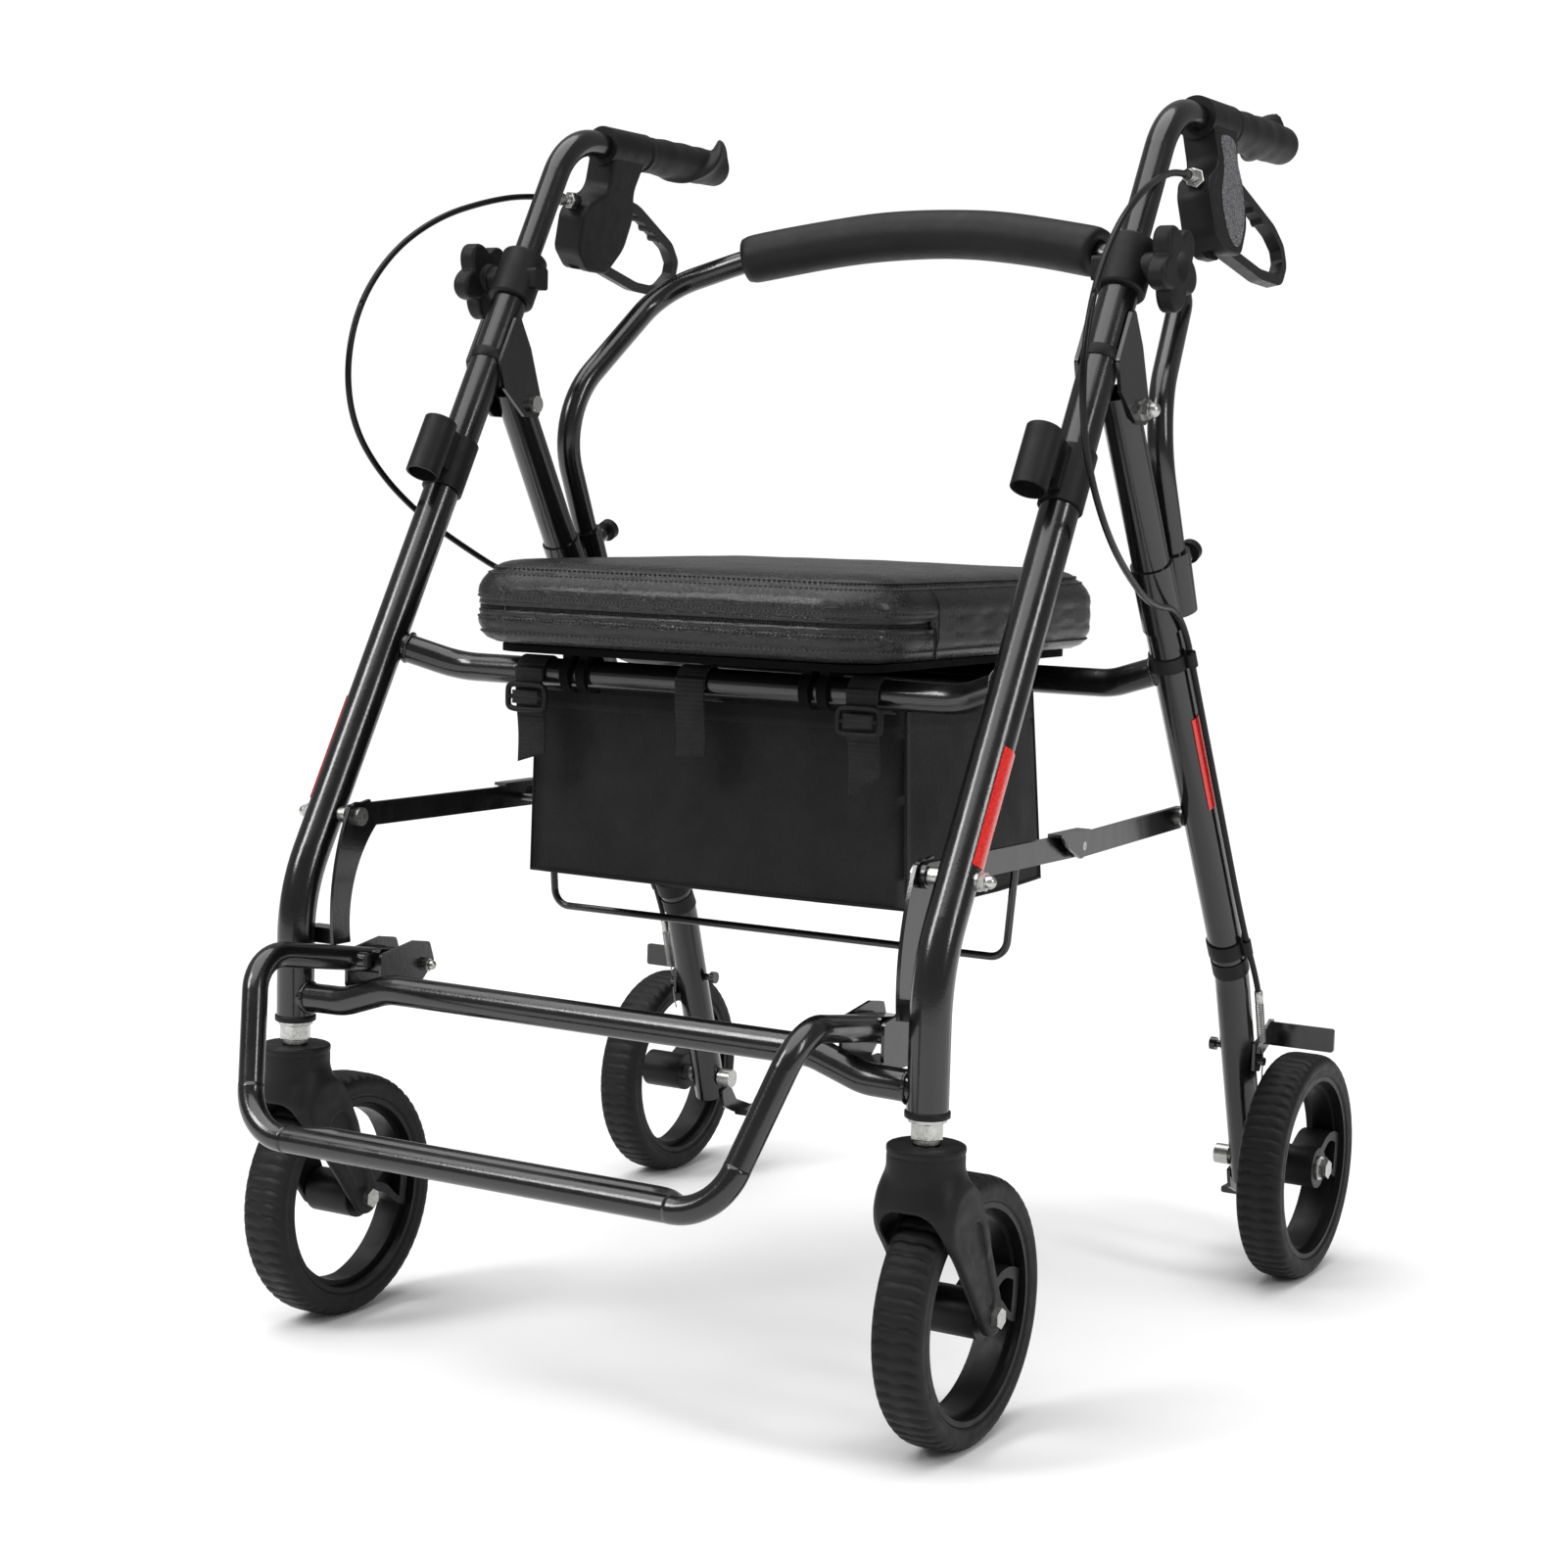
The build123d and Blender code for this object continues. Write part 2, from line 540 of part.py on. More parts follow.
def link(pivot_a, pivot_b, x0, hole_a, hole_b):
    """Flat bar with round ends and two holes, in a plane across X."""
    start = Vector(0, *pivot_a)
    end = Vector(0, *pivot_b)
    along = end - start
    face = Plane(origin=(x0, *pivot_a), x_dir=along, z_dir=(1, 0, 0))
    with BuildPart() as bar:
        with BuildSketch(face):
            with Locations((along.length / 2, 0)):
                SlotCenterToCenter(along.length, 2 * LINK_HALF)
            Circle(hole_a, mode=Mode.SUBTRACT)
            with Locations((along.length, 0)):
                Circle(hole_b, mode=Mode.SUBTRACT)
        extrude(amount=LINK_T)
    return bar.part


KNEE_R = 3.5
# The web over the knee is the stop that the rear link's end rests under.
with BuildPart() as front_links:
    add(link(LINK_A, LINK_B, FRONT_LINK_X, BOLT_R + RUN, KNEE_R + RUN))
    web_z = LINK_B[1] + LINK_HALF + 0.6
    web_outline = [(-42, web_z), (9, web_z), (9, web_z + 2.5), (-42, web_z + 2.5)]
    add(plate_x(web_outline, FRONT_LINK_X, FRONT_LINK_X + 11.5))
    cheek = [(-42, web_z + 2.5), (9, web_z + 2.5), (9, LINK_B[1] - 6), (-6, LINK_B[1] - 9),
             (-30, LINK_B[1] + 2)]
    add(plate_x(cheek, FRONT_LINK_X + 9.0, FRONT_LINK_X + 11.5))
    rib = [(-42, web_z), (-20, web_z), (-20, LINK_B[1]), (-42, LINK_B[1])]
    add(plate_x(rib, FRONT_LINK_X, FRONT_LINK_X + LINK_T))
    knee_bore = rod((235, *LINK_B), (270, *LINK_B), KNEE_R + RUN)
    add(knee_bore, mode=Mode.SUBTRACT)
    mirror(about=Plane.YZ)
save(front_links.part, "front_links")

LOCK_R = 3.0
LOCK_Z = 307.0
lock_y = LINK_B[0] - 24
lock_path = [(FRONT_LINK_X - 0.02, lock_y, LINK_B[1]), (213, lock_y, LINK_B[1]), (206, lock_y, LOCK_Z),
             (-206, lock_y, LOCK_Z), (-213, lock_y, LINK_B[1]), (-FRONT_LINK_X + 0.02, lock_y, LINK_B[1])]
lock_bar = tube(lock_path, LOCK_R, [12, 14, 14, 12], 0)
save(lock_bar, "lock_bar")

with BuildPart() as rear_links:
    add(link(LINK_B, LINK_C, REAR_LINK_X, KNEE_R, BOLT_R))
    mirror(about=Plane.YZ)
save(rear_links.part, "rear_links")

# Knee bolts turn with the rear links. The rear pivot bolts end at the leg's surface, where
# the linkage is open.
link_outer = REAR_LINK_X + LINK_T
with BuildPart() as link_bolts:
    add(rod((FRONT_LINK_X - 3.5, *LINK_B), (link_outer + 2.9, *LINK_B), KNEE_R))
    add(rod((FRONT_LINK_X - 5, *LINK_B), (FRONT_LINK_X - GAP, *LINK_B), 6.5))
    add(rod((REAR_LINK_X - 4.5, *LINK_C), (link_outer + 3, *LINK_C), BOLT_R))
    add(rod((REAR_LINK_X - 5, *LINK_C), (REAR_LINK_X, *LINK_C), 7))
    add(rod((link_outer, *LINK_C), (link_outer + 3, *LINK_C), 7))
    add(rear_links.part, mode=Mode.SUBTRACT)
    mirror(about=Plane.YZ)
save(link_bolts.part, "link_bolts")

# ---------------------------------------------------------------- wheels and casters
HUB_R = 17.0
RIM_IN = 63.0
TYRE_IN = 77.0
SPOKES = 5
SPOKE_HALF = 13.0
WEB_HALF = 2.0


def wheel_rim(centre):
    """Moulded wheel: hub, recessed rim and five swept spokes, each recessed from both sides."""
    plane = Plane(origin=centre, x_dir=(0, 1, 0), z_dir=(1, 0, 0))
    with BuildPart() as rim:
        with BuildSketch(plane):
            Circle(TYRE_IN)
            Circle(TYRE_IN - 4, mode=Mode.SUBTRACT)
        extrude(amount=17, both=True)
        with BuildSketch(plane):
            Circle(TYRE_IN - 3.9)
            Circle(RIM_IN + 5, mode=Mode.SUBTRACT)
        extrude(amount=9, both=True)
        with BuildSketch(plane):
            Circle(HUB_R)
        extrude(amount=HUB_HALF, both=True)
        with BuildSketch(plane):
            with PolarLocations(0, SPOKES):
                with BuildLine():
                    Spline((12, 7), (40, 19), (RIM_IN + 7, 15), tangents=((1, 0.2), (1, -0.6)))
                    Spline((RIM_IN + 7, 15), (RIM_IN + 3, -22), tangents=((0, -1), (-0.1, -1)))
                    Spline((RIM_IN + 3, -22), (38, -6), (12, -8), tangents=((-1, 0.2), (-1, -0.4)))
                    Line((12, -8), (12, 7))
                make_face()
        extrude(amount=SPOKE_HALF, both=True)
        for way in (-1, 1):
            with BuildSketch(plane.offset(way * WEB_HALF)):
                with PolarLocations(0, SPOKES):
                    with BuildLine():
                        Spline((29, 4), (46, 13), (61, 9), tangents=((1, 0.7), (1, -0.6)))
                        Spline((61, 9), (59, -14), tangents=((0, -1), (-0.1, -1)))
                        Spline((59, -14), (43, -1), (29, 4), tangents=((-1, 0.5), (-1, 0.3)))
                    make_face()
            extrude(amount=way * SPOKE_HALF, mode=Mode.SUBTRACT)
        with BuildSketch(plane):
            Circle(AXLE_R + RUN)
        extrude(amount=HUB_HALF + 1, both=True, mode=Mode.SUBTRACT)
    return rim.part


def wheel_tyre(centre):
    """Solid tyre with rounded shoulders."""
    half = TYRE_W / 2
    with BuildPart() as tyre:
        with BuildSketch(Plane(origin=centre, x_dir=(1, 0, 0), z_dir=(0, 1, 0))) as section:
            with Locations((0, (WHEEL_R + TYRE_IN) / 2)):
                Rectangle(TYRE_W, WHEEL_R - TYRE_IN)
            fillet(section.vertices().sort_by(Axis.Z)[-2:], 6)
        revolve(axis=Axis(centre, (1, 0, 0)))
    return tyre.part


rear_centre = Vector(REAR_WHEEL[0], REAR_WHEEL[1], WHEEL_R)
front_centre = Vector(LEG_X, STEM_Y + TRAIL, WHEEL_R)
for corner, centre in (("front", front_centre), ("rear", rear_centre)):
    save_sides(wheel_rim(centre), f"{corner}_rim")
    save_sides(wheel_tyre(centre), f"{corner}_tyre")

# Caster forks: a round stem housing over an arch with two tapering arms.
FORK_IN = 22.5
FORK_OUT = 29.0
fork_outline = [(-299, 203), (-245, 203), (-226, 178), (-203, 100), (-206, 84), (-218, 79),
                (-231, 84), (-237, 100), (-250, 140), (-268, 160), (-302, 152), (-305, 170)]
with BuildPart() as caster_fork:
    add(plate_x(fork_outline, LEG_X - FORK_OUT, LEG_X + FORK_OUT, 3.5))
    fork_sides = caster_fork.faces().filter_by(Axis.X)
    chamfer(fork_sides.edges(), 2)
    with Locations((LEG_X, STEM_Y, 180)):
        Cylinder(27, FORK_TOP - 4 - 180, align=(Align.CENTER, Align.CENTER, Align.MIN))
    with BuildSketch(Plane.XY.offset(FORK_TOP - 4)):
        with Locations((LEG_X, STEM_Y)):
            Circle(25)
    extrude(amount=4, taper=30)
    clear = Plane(origin=front_centre, z_dir=(1, 0, 0))
    with BuildSketch(clear):
        Circle(WHEEL_R + 5.5)
    extrude(amount=FORK_IN, both=True, mode=Mode.SUBTRACT)
    with Locations((LEG_X, STEM_Y, 170)):
        Cylinder(STEM_R + RUN, 60, align=(Align.CENTER, Align.CENTER, Align.MIN), mode=Mode.SUBTRACT)
        Cylinder(10 + GAP, 16 + GAP, align=(Align.CENTER, Align.CENTER, Align.MIN), mode=Mode.SUBTRACT)
    with BuildSketch(clear):
        Circle(AXLE_R)
    extrude(amount=40, both=True, mode=Mode.SUBTRACT)
save_sides(caster_fork.part, "caster_fork")

caster_axle_at = (STEM_Y + TRAIL, WHEEL_R)
with BuildPart() as caster_axle:
    add(rod((LEG_X - FORK_OUT - 1, *caster_axle_at), (LEG_X + FORK_OUT + 1, *caster_axle_at), AXLE_R))
    for sign in (-1, 1):
        face = LEG_X + sign * FORK_OUT
        add(hexagon((face, *caster_axle_at), (face + sign * 5, *caster_axle_at), 13))
        inner = LEG_X + sign * (HUB_HALF + GAP)
        add(rod((inner, *caster_axle_at), (LEG_X + sign * FORK_IN, *caster_axle_at), 8))
save_sides(caster_axle.part, "caster_axle")

# ---------------------------------------------------------------- handles and brakes
GRIP_START = 176.0
GRIP_END = 308.0
GRIP_R = 16.5
grip_turn = leg_point(GRIP_Z)
with BuildPart() as handle_tube:
    add(tube([leg_point(702), grip_turn, (LEG_X, GRIP_END - 8, GRIP_Z)], BAR_R, 62))
save_sides(handle_tube.part, "handle_tube")

with BuildPart() as grip:
    with BuildSketch(Plane(origin=(LEG_X, 0, GRIP_Z), x_dir=(0, 1, 0), z_dir=(1, 0, 0))):
        with BuildLine():
            swell = Spline((GRIP_START, 15), (205, 15.4), (245, GRIP_R), (280, 15.2), (302, 16.2))
            Line(swell @ 1, (GRIP_END, 13))
            Line((GRIP_END, 13), (GRIP_END, 0))
            Line((GRIP_END, 0), (GRIP_START, 0))
            Line((GRIP_START, 0), swell @ 0)
        make_face()
    revolve(axis=Axis((LEG_X, 0, GRIP_Z), (0, 1, 0)))
    add(rod((LEG_X, GRIP_START - 1, GRIP_Z), (LEG_X, GRIP_END - 8, GRIP_Z), BAR_R), mode=Mode.SUBTRACT)
save_sides(grip.part, "grip")

# The housing hangs from its clamp in a plane that splays outwards. In that plane the outline
# is given as y and the distance below the handle's axis.
tilt = radians(CLAMP_TILT)
hang = Vector(sin(tilt), 0, -cos(tilt))
across = Vector(cos(tilt), 0, sin(tilt))
HOUSING_HALF = 14.0
SLOT_HALF = 5.4
LEVER_HALF = 5.0
LEVER_PIVOT = (124.0, 80.0)
housing_outline = [(122, 6), (122, 38), (98, 50), (92, 62), (93, 92), (112, 107), (140, 107),
                   (160, 84), (166, 56), (160, 34), (169, 6)]
housing_radii = [3, 14, 12, 16, 12, 14, 14, 30, 30, 20, 3]
slot_outline = [(128, 27), (180, 27), (180, 118), (118, 118), (105, 100), (105, 62), (116, 44)]


def hanging_plane(offset):
    """Sketch plane of the brake housing: local x is y, local y is the drop below the tube."""
    origin = Vector(LEG_X, 0, GRIP_Z) + across * offset
    return Plane(origin=origin, x_dir=(0, 1, 0), z_dir=Vector(0, 1, 0).cross(hang))


def hanging_point(y, drop, offset=0.0):
    """Point of the brake housing from its place in the hanging plane."""
    return Vector(LEG_X, y, GRIP_Z) + hang * drop + across * offset


def rounded(outline, radii):
    """Draws a closed outline, each corner rounded to its own radius."""
    count = len(outline)
    corners = []
    for i, radius in enumerate(radii):
        before, at, after = (Vector(*outline[(i + k) % count], 0) for k in (-1, 0, 1))
        back = (before - at).normalized()
        ahead = (after - at).normalized()
        half = acos(back.dot(ahead)) / 2
        middle = at + (back + ahead).normalized() * (radius / sin(half) - radius)
        reach = radius / tan(half)
        corners.append((at + back * reach, middle, at + ahead * reach))
    for i, (start, middle, end) in enumerate(corners):
        ThreePointArc(start, middle, end)
        Line(end, corners[(i + 1) % count][0])


def hanging_slab(outline, half, radii=None):
    """Slab of the hanging plane, centred on it, from an outline of (y, drop) points."""
    with BuildPart() as slab:
        with BuildSketch(hanging_plane(0)):
            with BuildLine():
                if radii:
                    rounded(outline, radii)
                else:
                    Polyline(*outline, close=True)
            make_face()
        extrude(amount=half, both=True)
    return slab.part


with BuildPart() as brake_housing:
    add(hanging_slab(housing_outline, HOUSING_HALF, housing_radii))
    housing_rims = brake_housing.faces().filter_by(GeomType.PLANE).sort_by(SortBy.AREA)[-2:]
    fillet(housing_rims.edges(), 2.5)
    add(rod((LEG_X, 119, GRIP_Z), (LEG_X, 173, GRIP_Z), 16.5))
    add(hanging_slab(slot_outline, SLOT_HALF), mode=Mode.SUBTRACT)
    add(rod((LEG_X, 100, GRIP_Z), (LEG_X, 180, GRIP_Z), BAR_R), mode=Mode.SUBTRACT)
    add(rod(hanging_point(*LEVER_PIVOT, -11), hanging_point(*LEVER_PIVOT, 11), 3))
    # Threaded adjuster and lock nut where the cable's sheath enters.
    add(rod(hanging_point(101, 50.5), ADJUSTER + Vector(0, -4, 0), 3.4))
    add(hexagon(hanging_point(95, 49.5), hanging_point(90, 49.5), 11))
    add(rod(ADJUSTER + Vector(0, -4, 0), ADJUSTER + Vector(0, -10, 0), 4.2))
save_sides(brake_housing.part, "brake_housing")

lever_outline = [(114, 72), (132, 52), (166, 41), (184, 44), (247, 72), (262, 87), (262, 104),
                 (244, 121), (200, 119), (128, 103), (114, 90)]
lever_radii = [8, 20, 20, 60, 30, 11, 14, 22, 60, 10, 8]
# Finger swells along the inside of the upper arm.
finger_swells = [(190.7, 53.5), (207.2, 60.9), (223.6, 68.2)]
with BuildPart() as brake_lever:
    with BuildSketch(hanging_plane(0)):
        with BuildLine():
            rounded(lever_outline, lever_radii)
        make_face()
        offset(amount=-8.5, mode=Mode.SUBTRACT)
        with Locations(*finger_swells):
            Circle(5)
        with Locations(LEVER_PIVOT):
            Circle(11)
        with BuildLine():
            Polyline((116, 78), (132, 56), (146, 52), (146, 103), (128, 100), (116, 88), close=True)
        make_face()
        with Locations(LEVER_PIVOT):
            Circle(3 + RUN, mode=Mode.SUBTRACT)
    extrude(amount=LEVER_HALF, both=True)
save_sides(brake_lever.part, "brake_lever")

# Brake arms: a pressed plate beside each rear leg with the shoe's flange over the tyre.
ARM_X = LEG_X + LEG_R + GAP
arm_outline = [(290, 178), (303, 176), (309, 190), (332, 199), (333, 216), (326, 217),
               (304, 205), (290, 202)]
with BuildPart() as brake_arm:
    add(plate_x(arm_outline, ARM_X, ARM_X + 2.5, 1.2))
    with BuildSketch(Plane(origin=(0, 330, 0), x_dir=(1, 0, 0), z_dir=(0, -1, 0))):
        with Locations(((ARM_X + 344) / 2, 204.5)):
            RectangleRounded(344 - ARM_X, 20, 2.5)
    extrude(amount=3)
    add(rod((LEG_X - 21, *BRAKE_PIVOT), (ARM_X + 4, *BRAKE_PIVOT), PIVOT_R))
    add(rod(ANCHOR + Vector(1.5, 0, 0), ANCHOR + Vector(-6, 0, 0), 3.5))
    add(rod((LEG_X - 25, *BRAKE_PIVOT), (LEG_X - 20, *BRAKE_PIVOT), 5.5))
    add(hexagon((ARM_X + 2.5, *BRAKE_PIVOT), (ARM_X + 6, *BRAKE_PIVOT), 10))
save_sides(brake_arm.part, "brake_arm")

# ---------------------------------------------------------------- height knobs
KNOB_R = 33.0
KNOB_X = LEG_X + 28.0
with BuildPart() as height_knob:
    with BuildSketch(Plane(origin=(KNOB_X, *COLLAR), x_dir=(0, 1, 0), z_dir=(1, 0, 0))) as star:
        Circle(17)
        with PolarLocations(0, 4):
            with Locations((KNOB_R - 17, 0)):
                SlotCenterToCenter(18, 16)
        fillet(star.vertices(), 4)
    extrude(amount=15)
    fillet(height_knob.faces().sort_by(Axis.X)[-1].edges(), 3)
    add(rod((LEG_X + BAR_R + 0.5, *COLLAR), (KNOB_X, *COLLAR), 4))
save_sides(height_knob.part, "height_knob")

# ---------------------------------------------------------------- seat
SEAT_HALF = 187.0
SEAT_FRONT = -199.5
SEAT_BACK = 191.0
SEAT_LOW = 530.5
SEAT_HIGH = 594.0
seat_mid = (SEAT_FRONT + SEAT_BACK) / 2
with BuildPart() as seat_pad:
    with BuildSketch(Plane.XY.offset(SEAT_LOW)):
        with Locations((0, seat_mid)):
            RectangleRounded(2 * SEAT_HALF, SEAT_BACK - SEAT_FRONT, 50)
    extrude(amount=SEAT_HIGH - SEAT_LOW)
    fillet(seat_pad.faces().sort_by(Axis.Z)[-1].edges(), 24)
    fillet(seat_pad.faces().sort_by(Axis.Z)[0].edges(), 14)
save(seat_pad.part, "seat_pad")

# Stiff base under the pad, with clips that turn on the front bar and rests on the rear bar.
BASE_LOW = 525.0
REST_LOW = SEAT_BAR_Z + BAR_R + GAP
CLIP_X = (98.0, 113.0)
with BuildPart() as seat_base:
    with BuildSketch(Plane.XY.offset(BASE_LOW)):
        with Locations((0, seat_mid)):
            RectangleRounded(330, 350, 30)
    extrude(amount=SEAT_LOW - BASE_LOW)
    for x in CLIP_X:
        for side in (-1, 1):
            add(rod((side * x - 4, FRONT_BAR_Y, SEAT_BAR_Z), (side * x + 4, FRONT_BAR_Y, SEAT_BAR_Z), 15.5))
            with Locations((side * x, FRONT_BAR_Y, BASE_LOW - 3)):
                Box(8, 20, 8)
            with Locations((side * x, REAR_BAR_Y, (BASE_LOW + REST_LOW) / 2)):
                Box(8, 21, BASE_LOW - REST_LOW)
    bar_gap = BAR_R + RUN
    add(rod((-160, FRONT_BAR_Y, SEAT_BAR_Z), (160, FRONT_BAR_Y, SEAT_BAR_Z), bar_gap), mode=Mode.SUBTRACT)
    with Locations((0, FRONT_BAR_Y - 2, SEAT_BAR_Z - 14)):
        Box(300, 14, 14, mode=Mode.SUBTRACT)
save(seat_base.part, "seat_base")

# ---------------------------------------------------------------- backrest
PAD_END = (165.3, 189.0, 848.0)
back_top = [(245, 177, 822.7), PAD_END, (85, 205.5, 864)]
left_half = [tuple(back_low), tuple(back_turn)] + back_top
right_half = [(-x, y, z) for x, y, z in reversed(left_half)]
back_path = left_half + [(0, 211.5, 869.5)] + right_half
BACK_BENDS = [75, 55, 260, 380]
back_radii = BACK_BENDS + [380] + BACK_BENDS[::-1]
backrest_tube = tube(back_path, BACK_R, back_radii)
save(backrest_tube, "backrest_tube")

PAD_R = 20.5
pad_tip = Vector(*PAD_END)
pad_run = (Vector(85, 205.5, 864) - pad_tip).normalized() * 4
pad_left = [tuple(pad_tip + pad_run), (85, 205.5, 864)]
pad_path = pad_left + [(0, 211.5, 869.5)] + [(-x, y, z) for x, y, z in reversed(pad_left)]
with BuildPart() as backrest_pad:
    add(tube(pad_path, PAD_R, [380, 380, 380], 0))
    add(tube(back_path, BACK_R, back_radii, 0), mode=Mode.SUBTRACT)
save(backrest_pad.part, "backrest_pad")

with BuildPart() as backrest_pin:
    pin_tip = pin_point + pin_out * (BACK_R + 0.5)
    pin_head = pin_point + pin_out * (SOCKET_R + 14.5)
    add(rod(pin_tip, pin_head, PIN_R))
    add(rod(pin_head, pin_head + pin_out * 7, 9))
save_sides(backrest_pin.part, "backrest_pin")

# ---------------------------------------------------------------- footrest
FOOT_R = 9.4
foot_low_y = -(REAR_WHEEL[1] + WHEEL_R) + FOOT_R
foot_left = [(FOOT_X + 2, -250, 290), (229, -366, 309), (194, foot_low_y, 190)]
foot_path = foot_left + [(-x, y, z) for x, y, z in reversed(foot_left)]
foot_solid = tube(foot_path, FOOT_R, [34, 42, 42, 34], 0)
fitting = [(-256, 281), (-256, 300), (-212, 294), (-201, 289), (-201, 277), (-216, 275)]
with BuildPart() as footrest:
    add(tube(foot_path, FOOT_R, [34, 42, 42, 34]))
    tread = [(170, foot_low_y + 2, 190), (142, -386, 188), (-142, -386, 188),
             (-170, foot_low_y + 2, 190)]
    tread_cut = rod(foot_path[2], foot_path[3], FOOT_R - WALL)
    add(tube(tread, 8, 26, 0))
    for x0 in (FOOT_X - 11, -FOOT_X - 11):
        add(plate_x(fitting, x0, x0 + 22, 3))
    for side in (-1, 1):
        add(rod((side * 204, -270, 293), (side * 212, -270, 293), 6))
        pivot_a = (side * (FOOT_X - 30), *FOOT_PIVOT)
        pivot_b = (side * (FOOT_X + 30), *FOOT_PIVOT)
        add(rod(pivot_a, pivot_b, 3.0 + RUN), mode=Mode.SUBTRACT)
    add(tread_cut, mode=Mode.SUBTRACT)
save(footrest.part, "footrest")
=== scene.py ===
"""Looks of a rollator walker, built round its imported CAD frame.

Everything is in metres in the row frame: +Z up, floor at z = 0, mirror plane x = 0, casters
at -Y. Left is +X, the side of the person who walks behind.
"""
import json
import math

import bpy
import numpy as np
import openvdb
from mathutils import Matrix, Vector


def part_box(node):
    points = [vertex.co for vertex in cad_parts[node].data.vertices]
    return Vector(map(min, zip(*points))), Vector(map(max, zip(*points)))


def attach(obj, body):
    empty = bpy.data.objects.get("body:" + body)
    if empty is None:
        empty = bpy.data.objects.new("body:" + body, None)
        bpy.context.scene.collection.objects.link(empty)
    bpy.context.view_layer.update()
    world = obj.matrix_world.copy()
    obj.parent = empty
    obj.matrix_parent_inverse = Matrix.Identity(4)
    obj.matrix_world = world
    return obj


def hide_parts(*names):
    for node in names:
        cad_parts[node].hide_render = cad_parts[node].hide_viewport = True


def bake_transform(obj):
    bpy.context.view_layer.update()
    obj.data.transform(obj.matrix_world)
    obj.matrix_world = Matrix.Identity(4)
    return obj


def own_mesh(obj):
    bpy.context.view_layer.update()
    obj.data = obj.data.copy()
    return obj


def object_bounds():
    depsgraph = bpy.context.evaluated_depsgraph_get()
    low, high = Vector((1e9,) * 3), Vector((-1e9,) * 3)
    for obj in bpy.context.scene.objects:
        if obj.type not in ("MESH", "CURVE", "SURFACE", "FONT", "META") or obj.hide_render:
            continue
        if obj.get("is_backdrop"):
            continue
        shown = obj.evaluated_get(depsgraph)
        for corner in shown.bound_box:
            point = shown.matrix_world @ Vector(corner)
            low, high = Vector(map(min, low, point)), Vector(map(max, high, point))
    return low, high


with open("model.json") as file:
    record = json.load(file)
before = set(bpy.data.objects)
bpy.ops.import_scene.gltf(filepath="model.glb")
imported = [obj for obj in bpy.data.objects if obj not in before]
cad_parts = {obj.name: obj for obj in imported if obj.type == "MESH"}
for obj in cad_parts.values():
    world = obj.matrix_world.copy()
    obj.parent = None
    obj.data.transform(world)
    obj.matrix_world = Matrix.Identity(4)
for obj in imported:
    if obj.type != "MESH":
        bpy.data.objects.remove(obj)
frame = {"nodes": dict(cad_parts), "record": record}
nodes = frame["nodes"]
cad_low, cad_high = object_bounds()
MM = 0.001
SIDES = (("left", 1), ("right", -1))
LEG_X = 272.0     # plane of the legs, handles and casters, in millimetres
GRIP_Z = 941.5    # height of the handles' axis


# ---------------------------------------------------------------- materials
def new_material(name, color, rough, metallic=0.0, coat=0.0, sheen=0.0, spec=0.5):
    mat = bpy.data.materials.new(name)
    mat.use_nodes = True
    tree = mat.node_tree
    shader = tree.nodes["Principled BSDF"]
    shader.inputs["Base Color"].default_value = (*color, 1)
    shader.inputs["Roughness"].default_value = rough
    shader.inputs["Metallic"].default_value = metallic
    shader.inputs["Coat Weight"].default_value = coat
    shader.inputs["Coat Roughness"].default_value = 0.08
    shader.inputs["Sheen Weight"].default_value = sheen
    shader.inputs["Specular IOR Level"].default_value = spec
    coords = tree.nodes.new("ShaderNodeTexCoord")
    return mat, tree, shader, coords.outputs["Object"]


def noise(tree, coords, scale, detail=3.0, rough=0.55, stretch=None):
    tex = tree.nodes.new("ShaderNodeTexNoise")
    tex.inputs["Scale"].default_value = scale
    tex.inputs["Detail"].default_value = detail
    tex.inputs["Roughness"].default_value = rough
    if stretch:
        mapping = tree.nodes.new("ShaderNodeMapping")
        mapping.inputs["Scale"].default_value = stretch
        tree.links.new(coords, mapping.inputs["Vector"])
        coords = mapping.outputs["Vector"]
    tree.links.new(coords, tex.inputs["Vector"])
    return tex.outputs["Fac"]


def voronoi(tree, coords, scale):
    tex = tree.nodes.new("ShaderNodeTexVoronoi")
    tex.feature = "DISTANCE_TO_EDGE"
    tex.inputs["Scale"].default_value = scale
    tree.links.new(coords, tex.inputs["Vector"])
    return tex.outputs["Distance"]


def wave(tree, coords, axis, scale):
    tex = tree.nodes.new("ShaderNodeTexWave")
    tex.wave_type = "BANDS"
    tex.bands_direction = axis
    tex.wave_profile = "SIN"
    tex.inputs["Scale"].default_value = scale
    tex.inputs["Distortion"].default_value = 0.0
    tex.inputs["Detail"].default_value = 1.0
    tex.inputs["Detail Scale"].default_value = 2.0
    tree.links.new(coords, tex.inputs["Vector"])
    return tex.outputs["Fac"]


def ramp(tree, value, low, high, start=0.3, end=0.7):
    """Maps a 0..1 value to a range of numbers, or of colours when given tuples."""
    if isinstance(low, tuple):
        node = tree.nodes.new("ShaderNodeValToRGB")
        node.color_ramp.elements[0].position = start
        node.color_ramp.elements[0].color = (*low, 1)
        node.color_ramp.elements[1].position = end
        node.color_ramp.elements[1].color = (*high, 1)
        tree.links.new(value, node.inputs["Fac"])
        return node.outputs["Color"]
    node = tree.nodes.new("ShaderNodeMapRange")
    node.inputs["From Min"].default_value = start
    node.inputs["From Max"].default_value = end
    node.inputs["To Min"].default_value = low
    node.inputs["To Max"].default_value = high
    tree.links.new(value, node.inputs["Value"])
    return node.outputs["Result"]


